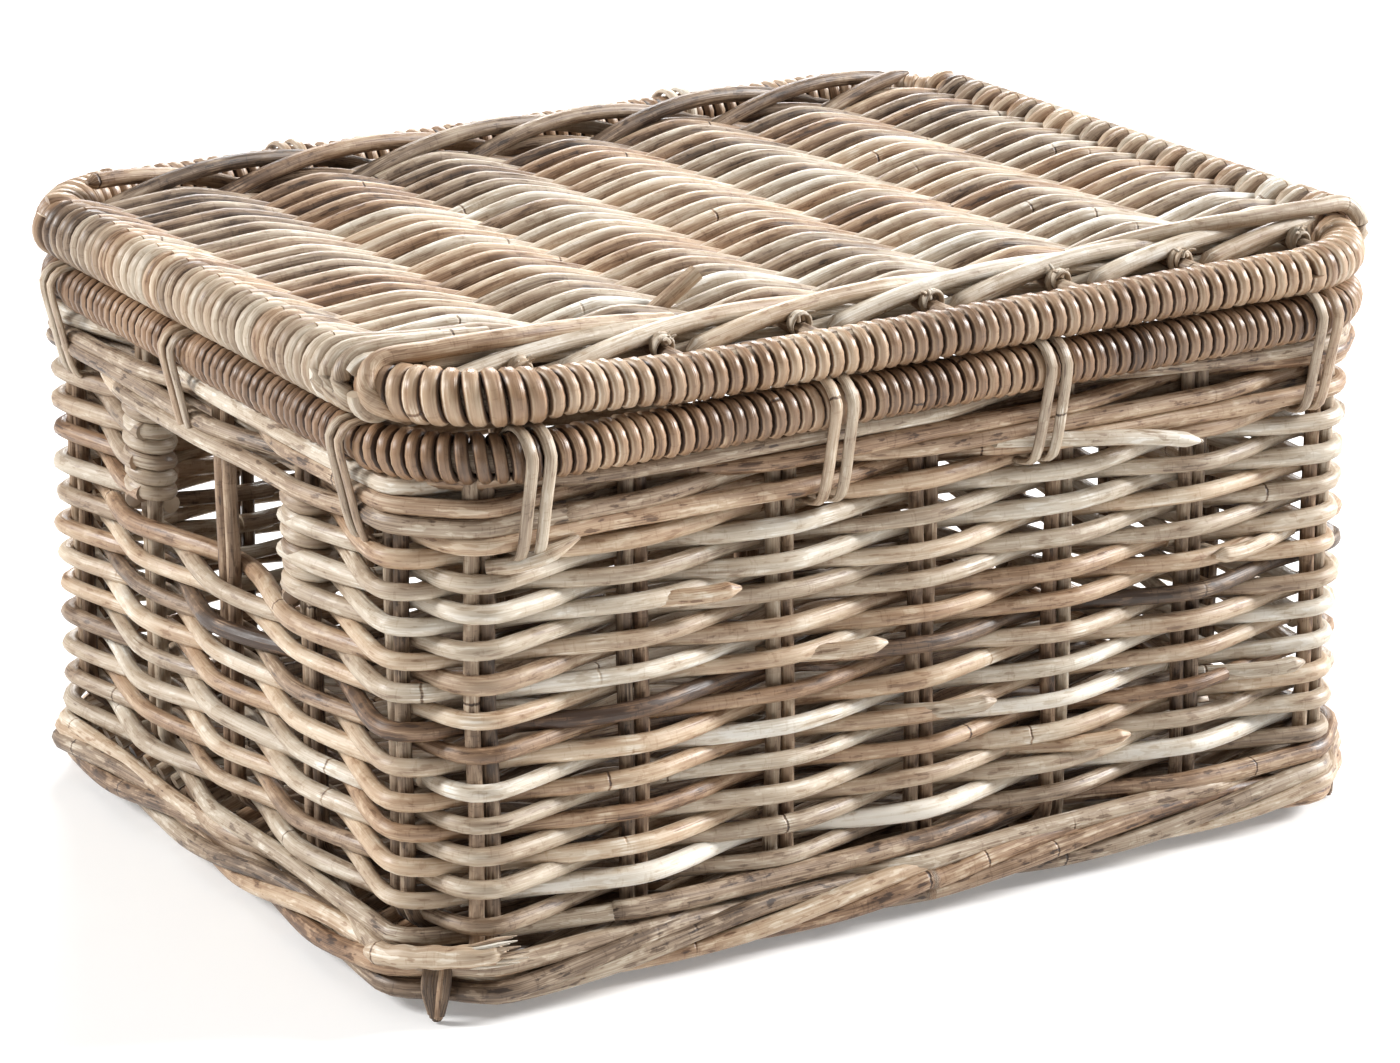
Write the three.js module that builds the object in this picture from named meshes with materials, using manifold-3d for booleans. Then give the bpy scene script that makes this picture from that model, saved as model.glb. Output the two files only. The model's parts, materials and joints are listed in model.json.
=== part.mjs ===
// Laundry hamper with a hinged lid, woven from round rattan cane.
// Millimetres. The origin is at the middle of the base, on the floor; +X runs to the right along
// the long front wall, +Y runs to the back and +Z is up. The lid is drawn closed.
import * as THREE from "three";
import { mergeVertices } from "three/addons/utils/BufferGeometryUtils.js";
import Module from "manifold-3d";

// ---- driving dimensions ----
const GAP = 0.35; // clearance left between pieces that touch
const STAKE_HALF_X = 292.4; // side walls: centre plane of the upright stakes
const STAKE_HALF_Y = 226; // front and back walls: centre plane of the upright stakes
const WALL_CORNER_R = 25; // corner radius of that centre line
const WALL_HALF = 14; // half the wall: half a stake and one weaving strand
const STAKE_HALF_WIDTH = 8.5; // a stake is a pair of canes side by side
const STAKE_HALF_THICK = 4.6;
const STAKE_TOP = 281;
const STAKE_BEND_R = 20;
const LONG_STAKE_PITCH = 88.23; // seven hoops run front to back under the base
const LONG_STAKES = 7;
const SIDE_STAKE_PITCH = 95.9; // five hoops run left to right
const SIDE_STAKES = 5;
const LONG_STAKE_FLOOR_Z = 20;
const SIDE_STAKE_FLOOR_Z = 38;
const FOOT = { r: 5.5, out: 14.3, high: 40 }; // pegs held in the bottom border at the corners

const BORDER = { low: 7, high: 44, inner: 7, outer: 24, strands: 4 };
const WEAVE = { low: 44.35, high: 246, strands: 22, groove: 2.8 };
const BAND = { low: 246.7, high: 281, strands: 4, groove: 2.8 };
const BASE = { low: 6.5, high: 43.5, inset: 7.2 };

const RIM_HALF_X = 300;
const RIM_HALF_Y = 240.6;
const RIM_CORNER_R = 52;
const RIM_Z = 295;
const RIM_POLE_R = 10;
const RIM_WRAP_R = 13;

const LID_POLE_R = 9.5;
const LID_WRAP_R = 12.5;
const LID_EDGE_R = 17.7; // the side poles carry the lid's weaving strands, wrapped right round
const LID_EDGE_TURNS = 20;
const LID_Z = RIM_Z + RIM_WRAP_R + LID_EDGE_R + 0.3; // the side edges rest on the rim
const LID_STAKES = 7;
const LID_STAKE_PITCH = 81.5;
const LID_STAKE_SHIFT = 15; // the lid's ribs are not centred: the set sits to the right
const LID_STAKE_R = 4.2;
const LID_STAKE_HALF = 214;
const LID_WEAVE = { halfX: 282, halfY: 184, half: 13.5, strands: 40, groove: 3 };
const ROPE = { y: 196, halfX: 272, lobe: 5.4, spread: 5.2, stepsPerRib: 6 };

const HANDLE = { low: 184, jambInner: 78, jambOuter: 113.5, turns: 4 };
const LASH_HALF_WIDTH = 9;
const LASH_LOW = 244; // the lashings pass under the top band here
const FRONT_LASH_X = [-245, -69, 64.5, 245];
const BACK_LASH_X = [-245, 245];
const SIDE_LASH_Y = [-173, 20, 173];
const HINGE_X = [-132, 132];

// ---- materials ----
const finish = (color, roughness) => ({ color, roughness });
const FINISH = {
  weave: finish(0xa88c70, 0.75),
  stake: finish(0x8f7358, 0.8),
  pole: finish(0x7f6045, 0.6),
  wrap: finish(0xb08a66, 0.45),
  lashing: finish(0xc4b49e, 0.65),
  border: finish(0x9c7c5e, 0.75),
};

const wasm = await Module();
wasm.setup();

// ---- solids from swept outlines ----
const UP = new THREE.Vector3(0, 0, 1);
const X_AXIS = new THREE.Vector3(1, 0, 0);
const Y_AXIS = new THREE.Vector3(0, 1, 0);

// Carries an outline along stations {at, out, across}. An outline is a list of [a, b]: a along the
// station's out direction and b along its across direction. It may be a function of the station.
function sweep(stations, outline, closed) {
  const outlineAt = typeof outline === "function" ? outline : () => outline;
  const sides = outlineAt(0).length;
  const positions = [];
  stations.forEach((s, i) => {
    for (const [a, b] of outlineAt(i)) {
      const p = s.at.clone().addScaledVector(s.out, a).addScaledVector(s.across, b);
      positions.push(p.x, p.y, p.z);
    }
  });
  const index = [];
  const spans = closed ? stations.length : stations.length - 1;
  for (let i = 0; i < spans; i++) {
    const here = i * sides;
    const next = ((i + 1) % stations.length) * sides;
    for (let j = 0; j < sides; j++) {
      const k = (j + 1) % sides;
      index.push(here + j, here + k, next + k, here + j, next + k, next + j);
    }
  }
  if (!closed) {
    capEnd(index, outlineAt(0), 0, false);
    const last = stations.length - 1;
    capEnd(index, outlineAt(last), last * sides, true);
  }
  return asSolid(positions, index);
}

// Closes one end of a sweep. The cap turns with its outline at the far end, against it at the near.
function capEnd(index, outline, first, far) {
  const points = outline.map(([a, b]) => new THREE.Vector2(a, b));
  const withOutline = THREE.ShapeUtils.area(points) > 0 === far;
  for (const [a, b, c] of THREE.ShapeUtils.triangulateShape(points, [])) {
    const area = THREE.ShapeUtils.area([points[a], points[b], points[c]]);
    if (area > 0 === withOutline) index.push(first + a, first + b, first + c);
    else index.push(first + a, first + c, first + b);
  }
}

function swap(list, i, j) {
  [list[i], list[j]] = [list[j], list[i]];
}

// A manifold solid from raw vertices and triangles, turned to face outwards.
function asSolid(positions, index) {
  const raw = new THREE.BufferGeometry();
  raw.setAttribute("position", new THREE.Float32BufferAttribute(positions, 3));
  raw.setIndex(index);
  const merged = mergeVertices(raw, 1e-4);
  const p = merged.attributes.position.array;
  const t = new Uint32Array(merged.index.array);
  let volume = 0;
  const corner = (i) => new THREE.Vector3(p[3 * i], p[3 * i + 1], p[3 * i + 2]);
  for (let i = 0; i < t.length; i += 3)
    volume += corner(t[i]).dot(corner(t[i + 1]).cross(corner(t[i + 2])));
  if (volume < 0) for (let i = 0; i < t.length; i += 3) swap(t, i + 1, i + 2);
  return new wasm.Manifold(new wasm.Mesh({ numProp: 3, vertProperties: p, triVerts: t }));
}

const cut = (body, tools) => tools.reduce((left, tool) => left.subtract(tool), body);

// ---- outlines ----
const disc = (r, sides) =>
  Array.from({ length: sides }, (_, i) => {
    const turn = ((i + 0.5) / sides) * 2 * Math.PI;
    return [r * Math.cos(turn), r * Math.sin(turn)];
  });

// Two canes side by side: lobes along the across direction, with a waist between them.
function pair(halfThick, halfWidth) {
  const waist = 0.6 * halfThick;
  return [
    [waist, 0],
    [halfThick, 0.55 * halfWidth],
    [0, halfWidth],
    [-halfThick, 0.55 * halfWidth],
    [-waist, 0],
    [-halfThick, -0.55 * halfWidth],
    [0, -halfWidth],
    [halfThick, -0.55 * halfWidth],
  ];
}

// The clear way a pair of canes needs through a woven piece.
function slot(halfThick, halfWidth) {
  const t = halfThick + GAP;
  const w = halfWidth + GAP;
  const corner = 0.35 * halfThick;
  return [
    [t, -w + corner],
    [t, w - corner],
    [t - corner, w],
    [corner - t, w],
    [-t, w - corner],
    [-t, corner - w],
    [corner - t, -w],
    [t - corner, -w],
  ];
}

// The upright section of a woven wall: one rounded ridge for each strand on the outside.
function wallOutline(inner, outer, low, high, strands, groove) {
  const pitch = (high - low) / strands;
  const points = [[inner, low]];
  for (let i = 0; i < strands; i++) {
    const z = low + i * pitch;
    points.push([outer - groove, z], [outer, z + 0.5 * pitch]);
  }
  points.push([outer - groove, high], [inner, high]);
  return points;
}

// ---- paths ----
// Stations round the corners of a rounded rectangle seen from above. Corners are listed in order
// as [x sign, y sign, angle at which the corner starts], all turning the same way.
const FRONT_LEFT = [-1, -1, Math.PI];
const FRONT_RIGHT = [1, -1, 1.5 * Math.PI];
const BACK_RIGHT = [1, 1, 0];
const BACK_LEFT = [-1, 1, 0.5 * Math.PI];
const ALL_CORNERS = [FRONT_LEFT, FRONT_RIGHT, BACK_RIGHT, BACK_LEFT];

function cornerStations(halfX, halfY, radius, z, corners, steps) {
  const stations = [];
  for (const [sx, sy, start] of corners)
    for (let i = 0; i <= steps; i++) {
      const turn = start + (i / steps) * 0.5 * Math.PI;
      const out = new THREE.Vector3(Math.cos(turn), Math.sin(turn), 0);
      const at = new THREE.Vector3(sx * (halfX - radius), sy * (halfY - radius), z);
      stations.push({ at: at.addScaledVector(out, radius), out, across: UP });
    }
  return stations;
}

// The same open path with both ends carried straight on by a length.
function extended(stations, length) {
  const first = stations[0];
  const last = stations[stations.length - 1];
  const back = new THREE.Vector3().crossVectors(first.out, UP).multiplyScalar(length);
  const ahead = new THREE.Vector3().crossVectors(UP, last.out).multiplyScalar(length);
  return [
    { ...first, at: first.at.clone().add(back) },
    ...stations,
    { ...last, at: last.at.clone().add(ahead) },
  ];
}

// Stations along a level straight line.
function straight(from, to, count, out, across) {
  return Array.from({ length: count + 1 }, (_, i) => ({
    at: from.clone().lerp(to, i / count),
    out,
    across,
  }));
}

// Stations along a path drawn in an upright plane. Points are [distance along outDir, height];
// the plane stands at a place on sideDir. Each corner is mitred so that the section keeps its size.
function uprightStations(points, closed, outDir, sideDir, place) {
  const n = points.length;
  return points.map((p, i) => {
    const before = closed ? points[(i + n - 1) % n] : points[Math.max(i - 1, 0)];
    const after = closed ? points[(i + 1) % n] : points[Math.min(i + 1, n - 1)];
    const d1 = new THREE.Vector2(p[0] - before[0], p[1] - before[1]).normalize();
    const d2 = new THREE.Vector2(after[0] - p[0], after[1] - p[1]).normalize();
    const d = d1.clone().add(d2).normalize();
    const stretch = 1 / Math.max(d.dot(d1.lengthSq() ? d1 : d2), 0.5);
    const out = outDir.clone().multiplyScalar(d.y * stretch).addScaledVector(UP, -d.x * stretch);
    const at = outDir.clone().multiplyScalar(p[0]).addScaledVector(UP, p[1]);
    return { at: at.addScaledVector(sideDir, place), out, across: sideDir };
  });
}

function arcPoints(centre, radius, from, to, steps) {
  return Array.from({ length: steps + 1 }, (_, i) => {
    const turn = THREE.MathUtils.degToRad(from + (i / steps) * (to - from));
    return [centre[0] + radius * Math.cos(turn), centre[1] + radius * Math.sin(turn)];
  });
}

// ---- the part ----
const hamper = new THREE.Group();
hamper.name = "laundry_hamper";
const basket = new THREE.Group();
basket.name = "basket";
const lid = new THREE.Group();
lid.name = "lid";
hamper.add(basket, lid);

// Puts a solid in the group it moves with. Solids of the lid have names that start with lid.
function add(name, solid, look) {
  const raw = solid.getMesh();
  const geometry = new THREE.BufferGeometry();
  const positions = new Float32Array(raw.numVert * 3);
  for (let i = 0; i < raw.numVert; i++)
    positions.set(raw.vertProperties.subarray(i * raw.numProp, i * raw.numProp + 3), i * 3);
  geometry.setAttribute("position", new THREE.BufferAttribute(positions, 3));
  geometry.setIndex(new THREE.BufferAttribute(new Uint32Array(raw.triVerts), 1));
  geometry.computeVertexNormals();
  const mesh = new THREE.Mesh(geometry, new THREE.MeshStandardMaterial({ ...look, metalness: 0 }));
  mesh.name = name;
  (name.startsWith("lid_") ? lid : basket).add(mesh);
}

// Stake hoops: down one wall, across under the floor and up the opposite wall.
function hoopPoints(half, floorZ) {
  const r = STAKE_BEND_R;
  const bend = half - r;
  return [
    [-half, STAKE_TOP],
    ...arcPoints([-bend, floorZ + r], r, 180, 270, 3),
    ...arcPoints([bend, floorZ + r], r, 270, 360, 3),
    [half, STAKE_TOP],
  ];
}

const places = (count, pitch, shift = 0) =>
  Array.from({ length: count }, (_, i) => shift + (i - (count - 1) / 2) * pitch);

const hoops = [
  ...places(LONG_STAKES, LONG_STAKE_PITCH).map((x, i) => ({
    name: `stake_long_${i + 1}`,
    stations: uprightStations(
      hoopPoints(STAKE_HALF_Y, LONG_STAKE_FLOOR_Z), false, Y_AXIS, X_AXIS, x,
    ),
  })),
  ...places(SIDE_STAKES, SIDE_STAKE_PITCH).map((y, i) => ({
    name: `stake_side_${i + 1}`,
    stations: uprightStations(
      hoopPoints(STAKE_HALF_X, SIDE_STAKE_FLOOR_Z), false, X_AXIS, Y_AXIS, y,
    ),
  })),
];
const stakeOutline = pair(STAKE_HALF_THICK, STAKE_HALF_WIDTH);
const stakeSlot = slot(STAKE_HALF_THICK, STAKE_HALF_WIDTH);
for (const hoop of hoops) {
  add(hoop.name, sweep(hoop.stations, stakeOutline, false), FINISH.stake);
  // The way cut for a hoop runs on past its top ends, so that it opens at the top.
  const raised = hoop.stations.map((s, i) => {
    const isEnd = i === 0 || i === hoop.stations.length - 1;
    return isEnd ? { ...s, at: s.at.clone().addScaledVector(UP, 2) } : s;
  });
  hoop.way = sweep(raised, stakeSlot, false);
}
const stakeWays = hoops.map((hoop) => hoop.way);

// Corner feet: short pegs set in the bottom border. Their flat lower ends stand on the floor.
const footCentre = (half) => half - WALL_CORNER_R + (WALL_CORNER_R + FOOT.out) * Math.SQRT1_2;
const footWays = [];
for (const [sx, sy, name] of [
  [-1, -1, "front_left"],
  [1, -1, "front_right"],
  [1, 1, "back_right"],
  [-1, 1, "back_left"],
]) {
  const foot = new THREE.Vector3(sx * footCentre(STAKE_HALF_X), sy * footCentre(STAKE_HALF_Y), 0);
  const line = straight(foot, foot.clone().setZ(FOOT.high), 1, X_AXIS, Y_AXIS);
  const clear = straight(foot.clone().setZ(-2), foot.clone().setZ(FOOT.high + GAP), 1,
    X_AXIS, Y_AXIS);
  add(`corner_foot_${name}`, sweep(line, disc(FOOT.r, 12), false), FINISH.pole);
  footWays.push(sweep(clear, disc(FOOT.r + 0.5, 12), false));
}

// Lashings: each is a pair of canes over the rim, down the wall and in under the top band.
// Heights are measured up, and distances outwards from the stakes' centre plane.
function lashingPoints(rimOffset, overRimR, halfThick) {
  const face = WALL_HALF + 0.6 + halfThick;
  return [
    ...arcPoints([rimOffset, RIM_Z], overRimR, -10, 190, 6),
    [-face, BAND.high + 1.2],
    [-face, LASH_LOW + 6],
    [-face + 5, LASH_LOW],
    [face - 5, LASH_LOW],
    [face, LASH_LOW + 6],
  ];
}

function lashing(wall, place, halfThick, overRimR) {
  const rimOffset = wall.rimHalf - wall.half;
  const points = lashingPoints(rimOffset, overRimR, halfThick)
    .map(([n, z]) => [wall.half + n, z])
    .reverse();
  const stations = uprightStations(points, true, wall.out, wall.along, place);
  return {
    solid: sweep(stations, pair(halfThick, LASH_HALF_WIDTH), true),
    way: sweep(stations, slot(halfThick, LASH_HALF_WIDTH), true),
  };
}

const WALLS = {
  front: { out: Y_AXIS.clone().negate(), along: X_AXIS, half: STAKE_HALF_Y, rimHalf: RIM_HALF_Y },
  back: { out: Y_AXIS, along: X_AXIS, half: STAKE_HALF_Y, rimHalf: RIM_HALF_Y },
  left: { out: X_AXIS.clone().negate(), along: Y_AXIS, half: STAKE_HALF_X, rimHalf: RIM_HALF_X },
  right: { out: X_AXIS, along: Y_AXIS, half: STAKE_HALF_X, rimHalf: RIM_HALF_X },
};
// Front and back lashings pass over the rim's wrapping. Those at the sides lie down in it, level
// with its outside, because the lid's side edges rest there.
const OVER = { halfThick: 1.7, radius: RIM_WRAP_R + 0.7 + 1.7 };
const FLUSH = { halfThick: 1.2, radius: RIM_POLE_R + 0.4 + 1.2 };
const lashWays = [];
const flushWays = [];
for (const [side, list, style] of [
  ["front", FRONT_LASH_X, OVER],
  ["back", BACK_LASH_X, OVER],
  ["left", SIDE_LASH_Y, FLUSH],
  ["right", SIDE_LASH_Y, FLUSH],
])
  list.forEach((place, i) => {
    const made = lashing(WALLS[side], place, style.halfThick, style.radius);
    add(`lashing_${side}_${i + 1}`, made.solid, FINISH.lashing);
    lashWays.push(made.way);
    if (style === FLUSH) flushWays.push(made.way);
  });

// Hinge rings: canes looped round the back rim pole and the back lid pole. The lid pole turns
// inside them.
const hingeWays = [];
HINGE_X.forEach((x, i) => {
  const halfThick = 1.7;
  const r = RIM_WRAP_R + 0.7 + halfThick;
  const points = [
    ...arcPoints([RIM_HALF_Y, RIM_Z], r, 180, 360, 6),
    ...arcPoints([RIM_HALF_Y, LID_Z], r, 0, 180, 6),
  ];
  const stations = uprightStations(points, true, Y_AXIS, X_AXIS, x);
  const name = i === 0 ? "hinge_ring_left" : "hinge_ring_right";
  add(name, sweep(stations, pair(halfThick, LASH_HALF_WIDTH), true), FINISH.lashing);
  hingeWays.push(sweep(stations, slot(halfThick, LASH_HALF_WIDTH), true));
});

// Woven walls. Front and back carry the rounded corners; the side walls are straight and hold the
// handle openings.
const weaveOutline = wallOutline(
  -WALL_HALF, WALL_HALF, WEAVE.low, WEAVE.high, WEAVE.strands, WEAVE.groove,
);
for (const [name, corners] of [
  ["front", [FRONT_LEFT, FRONT_RIGHT]],
  ["back", [BACK_RIGHT, BACK_LEFT]],
]) {
  const path = cornerStations(STAKE_HALF_X, STAKE_HALF_Y, WALL_CORNER_R, 0, corners, 3);
  const wall = sweep(path, weaveOutline, false);
  add(`wall_weave_${name}`, cut(wall, [...stakeWays, ...lashWays]), FINISH.weave);
}
const sideHalf = STAKE_HALF_Y - WALL_CORNER_R - GAP;
for (const [name, sx] of [
  ["left", -1],
  ["right", 1],
]) {
  const out = new THREE.Vector3(sx, 0, 0);
  const end = new THREE.Vector3(sx * STAKE_HALF_X, sideHalf, 0);
  const path = straight(end.clone().setY(-sideHalf), end, 1, out, UP);
  const openingEnd = new THREE.Vector3(sx * STAKE_HALF_X, HANDLE.jambOuter + 0.5, 0);
  const openingRun = straight(openingEnd.clone().setY(-openingEnd.y), openingEnd, 1, out, UP);
  const through = 2 * WALL_HALF;
  const openingOutline = [
    [-through, HANDLE.low],
    [through, HANDLE.low],
    [through, WEAVE.high + 4],
    [-through, WEAVE.high + 4],
  ];
  const opening = sweep(openingRun, openingOutline, false);
  const wall = sweep(path, weaveOutline, false).subtract(opening);
  add(`wall_weave_${name}`, cut(wall, [...stakeWays, ...lashWays]), FINISH.weave);

  // The strands that turn back at the handle opening wind round the stake at each side of it.
  for (const [where, sy] of [
    ["front", -1],
    ["back", 1],
  ]) {
    const y = (sy * (HANDLE.jambInner + HANDLE.jambOuter)) / 2;
    const halfLong = (HANDLE.jambOuter - HANDLE.jambInner) / 2;
    const halfDeep = WALL_HALF - 1;
    const low = HANDLE.low + 0.5;
    const high = WEAVE.high - 0.5;
    const steps = 2 * HANDLE.turns;
    const at = new THREE.Vector3(sx * STAKE_HALF_X, y, low);
    const column = straight(at, at.clone().setZ(high), steps, X_AXIS, Y_AXIS);
    const rounded = (i) => {
      const shrink = i % 2 ? 0 : 2.2;
      return disc(1, 12).map(([a, b]) => [
        Math.sign(a) * Math.abs(a) ** 0.7 * (halfDeep - shrink),
        Math.sign(b) * Math.abs(b) ** 0.7 * (halfLong - shrink),
      ]);
    };
    const turns = cut(sweep(column, rounded, false), stakeWays);
    add(`handle_jamb_${name}_${where}`, turns, FINISH.weave);
  }
}

// Top band and bottom border: both run all the way round.
const ring = cornerStations(STAKE_HALF_X, STAKE_HALF_Y, WALL_CORNER_R, 0, ALL_CORNERS, 3);
const bandOutline = wallOutline(
  -WALL_HALF, WALL_HALF, BAND.low, BAND.high, BAND.strands, BAND.groove,
);
const band = sweep(ring, bandOutline, true);
add("top_band", cut(band, [...stakeWays, ...hingeWays, ...lashWays]), FINISH.border);
const borderOutline = wallOutline(
  BORDER.inner, BORDER.outer, BORDER.low, BORDER.high, BORDER.strands, 3.5,
);
add("bottom_border", cut(sweep(ring, borderOutline, true), footWays), FINISH.border);

// Base: a flat woven panel that holds the floor runs of the hoops.
const baseRing = cornerStations(
  STAKE_HALF_X - BASE.inset, STAKE_HALF_Y - BASE.inset, WALL_CORNER_R - BASE.inset, 0,
  ALL_CORNERS, 3,
);
const basePoints = baseRing.map((s) => [s.at.x, s.at.y]);
const baseFrom = new THREE.Vector3(0, 0, BASE.low);
const base = sweep(straight(baseFrom, baseFrom.clone().setZ(BASE.high), 1, X_AXIS, Y_AXIS),
  basePoints, false);
add("base_weave", cut(base, stakeWays), FINISH.weave);

// Rim: a bent pole wound with flat cane. The wrapping is in a front and a back half.
const rimPath = (corners, steps) =>
  cornerStations(RIM_HALF_X, RIM_HALF_Y, RIM_CORNER_R, RIM_Z, corners, steps);
add("rim_pole", sweep(rimPath(ALL_CORNERS, 5), disc(RIM_POLE_R, 10), true), FINISH.pole);
const sideRun = RIM_HALF_Y - RIM_CORNER_R;
for (const [name, corners] of [
  ["front", [FRONT_LEFT, FRONT_RIGHT]],
  ["back", [BACK_RIGHT, BACK_LEFT]],
]) {
  const path = rimPath(corners, 5);
  const outer = sweep(extended(path, sideRun - GAP), disc(RIM_WRAP_R, 10), false);
  const inner = sweep(extended(path, sideRun + 5), disc(RIM_POLE_R + GAP, 10), false);
  add(`rim_wrap_${name}`, cut(outer, [inner, ...flushWays]), FINISH.wrap);
}

// Lid frame: a bent pole like the rim's. Front and back are wound with cane.
const lidPath = (corners, steps) =>
  cornerStations(RIM_HALF_X, RIM_HALF_Y, RIM_CORNER_R, LID_Z, corners, steps);
add("lid_pole", sweep(lidPath(ALL_CORNERS, 5), disc(LID_POLE_R, 10), true), FINISH.pole);
for (const [name, corners] of [
  ["front", [FRONT_LEFT, FRONT_RIGHT]],
  ["back", [BACK_RIGHT, BACK_LEFT]],
]) {
  const path = lidPath(corners, 5);
  const outer = sweep(path, disc(LID_WRAP_R, 10), false);
  const inner = sweep(extended(path, 5), disc(LID_POLE_R + GAP, 10), false);
  add(`lid_wrap_${name}`, outer.subtract(inner), FINISH.wrap);
}

// Lid edges: the lid's strands turn round the side poles in a row of fat turns.
for (const [name, sx] of [
  ["left", -1],
  ["right", 1],
]) {
  const end = new THREE.Vector3(sx * RIM_HALF_X, sideRun - GAP, LID_Z);
  const run = straight(end.clone().setY(GAP - sideRun), end, 2 * LID_EDGE_TURNS, X_AXIS, UP);
  const outer = sweep(run, (i) => disc(i % 2 ? LID_EDGE_R : LID_EDGE_R - 2.2, 8), false);
  const bore = straight(end.clone().setY(-sideRun - 5), end.clone().setY(sideRun + 5), 1,
    X_AXIS, UP);
  add(`lid_edge_${name}`, outer.subtract(sweep(bore, disc(LID_POLE_R + GAP, 10), false)),
    FINISH.weave);
}

// Lid ribs, the panel woven on them and the two twisted ropes that close it.
const ribWays = places(LID_STAKES, LID_STAKE_PITCH, LID_STAKE_SHIFT).map((x, i) => {
  const end = new THREE.Vector3(x, LID_STAKE_HALF, LID_Z);
  const run = straight(end.clone().setY(-LID_STAKE_HALF), end, 1, X_AXIS, UP);
  const clear = straight(end.clone().setY(-LID_STAKE_HALF - 5), end.clone().setY(
    LID_STAKE_HALF + 5), 1, X_AXIS, UP);
  add(`lid_stake_${i + 1}`, sweep(run, disc(LID_STAKE_R, 10), false), FINISH.stake);
  return sweep(clear, disc(LID_STAKE_R + GAP, 10), false);
});

const panelOutline = [];
const strandPitch = (2 * LID_WEAVE.halfY) / LID_WEAVE.strands;
for (let i = 0; i < LID_WEAVE.strands; i++) {
  const y = -LID_WEAVE.halfY + i * strandPitch;
  panelOutline.push([y, LID_WEAVE.half - LID_WEAVE.groove]);
  panelOutline.push([y + 0.3 * strandPitch, LID_WEAVE.half]);
  panelOutline.push([y + 0.7 * strandPitch, LID_WEAVE.half]);
}
panelOutline.push([LID_WEAVE.halfY, LID_WEAVE.half - LID_WEAVE.groove]);
panelOutline.push([LID_WEAVE.halfY, -LID_WEAVE.half], [-LID_WEAVE.halfY, -LID_WEAVE.half]);
const panelEnd = new THREE.Vector3(LID_WEAVE.halfX, 0, LID_Z);
const panelRun = straight(panelEnd.clone().setX(-LID_WEAVE.halfX), panelEnd, 1, Y_AXIS, UP);
add("lid_weave", cut(sweep(panelRun, panelOutline, false), ribWays), FINISH.weave);

for (const [name, sy] of [
  ["front", -1],
  ["back", 1],
]) {
  // Two strands laid together: the outline is a pair of lobes that turns as it runs, half a turn
  // from rib to rib, so that one strand passes over each rib and the other under it.
  const steps = Math.round((2 * ROPE.halfX / LID_STAKE_PITCH) * ROPE.stepsPerRib);
  const end = new THREE.Vector3(ROPE.halfX, sy * ROPE.y, LID_Z);
  const run = straight(end.clone().setX(-ROPE.halfX), end, steps, Y_AXIS, UP);
  const twisted = (i) => {
    const turn = ((run[i].at.x - LID_STAKE_SHIFT) / LID_STAKE_PITCH) * Math.PI;
    const [c, s] = [Math.cos(turn), Math.sin(turn)];
    return pair(ROPE.lobe, ROPE.lobe + ROPE.spread).map(([a, b]) => [a * c - b * s, a * s + b * c]);
  };
  add(`lid_rope_${name}`, cut(sweep(run, twisted, false), ribWays), FINISH.border);
}

export default hamper;
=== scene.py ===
"""The looks of a lidded rattan hamper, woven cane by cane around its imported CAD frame.

Metres, +Z up, +X to the right along the long front wall, +Y to the back. Every cane is a tube laid
along a path. Paths come from the frame: the stakes stand where the CAD stakes stand, the strands
pass in front of and behind them, and the wrappings wind round the CAD poles.
"""
import json
import math

import bpy
import numpy as np
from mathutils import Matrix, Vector


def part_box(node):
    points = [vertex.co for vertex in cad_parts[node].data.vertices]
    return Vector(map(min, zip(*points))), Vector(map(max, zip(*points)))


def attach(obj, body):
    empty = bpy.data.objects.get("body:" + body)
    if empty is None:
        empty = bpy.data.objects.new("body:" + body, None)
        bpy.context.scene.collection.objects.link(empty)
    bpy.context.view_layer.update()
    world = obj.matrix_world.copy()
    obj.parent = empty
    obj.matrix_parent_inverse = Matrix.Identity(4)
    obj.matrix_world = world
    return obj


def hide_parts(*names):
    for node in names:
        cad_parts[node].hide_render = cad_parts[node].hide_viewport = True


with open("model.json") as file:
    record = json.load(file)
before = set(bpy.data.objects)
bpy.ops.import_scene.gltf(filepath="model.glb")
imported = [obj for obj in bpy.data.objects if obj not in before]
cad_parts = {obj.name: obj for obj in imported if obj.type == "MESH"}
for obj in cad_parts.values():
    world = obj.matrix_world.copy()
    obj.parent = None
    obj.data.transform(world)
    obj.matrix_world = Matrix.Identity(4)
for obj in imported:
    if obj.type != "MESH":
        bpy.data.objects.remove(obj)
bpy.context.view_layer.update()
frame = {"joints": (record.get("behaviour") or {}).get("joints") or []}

MM = 0.001
TAU = 2 * math.pi
UP = np.array([0.0, 0.0, 1.0])
rng = np.random.default_rng(11)


# ---- places, measured on the frame ----
def middle(node):
    low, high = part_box(node)
    return (low + high) / 2


def half(node):
    low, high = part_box(node)
    return (high - low) / 2


HINGE = Vector(frame["joints"][0]["pos_m"])
WALL_HALF = half("wall_weave_left").x
WALL_X = middle("wall_weave_right").x
WALL_Y = half("wall_weave_front").y - WALL_HALF + abs(middle("wall_weave_front").y)
WALL_CORNER = 34 * MM
CORNER_PULL = 5.5 * MM  # strands cut across each corner, from its last stake to the next wall's first
LONG_STAKES = [middle(f"stake_long_{i + 1}").x for i in range(7)]
SIDE_STAKES = [middle(f"stake_side_{i + 1}").y for i in range(5)]
CAD_STAKE_R = 4.6 * MM
LONG_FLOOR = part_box("stake_long_1")[0].z + CAD_STAKE_R
SIDE_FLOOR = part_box("stake_side_1")[0].z + CAD_STAKE_R
STAKE_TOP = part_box("stake_long_1")[1].z
WEAVE_LOW, WEAVE_HIGH = (p.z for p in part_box("wall_weave_front"))
BORDER_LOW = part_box("bottom_border")[0].z
RIM_X = middle("lid_edge_right").x
RIM_Y = HINGE.y
RIM_CORNER = 70 * MM
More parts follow.
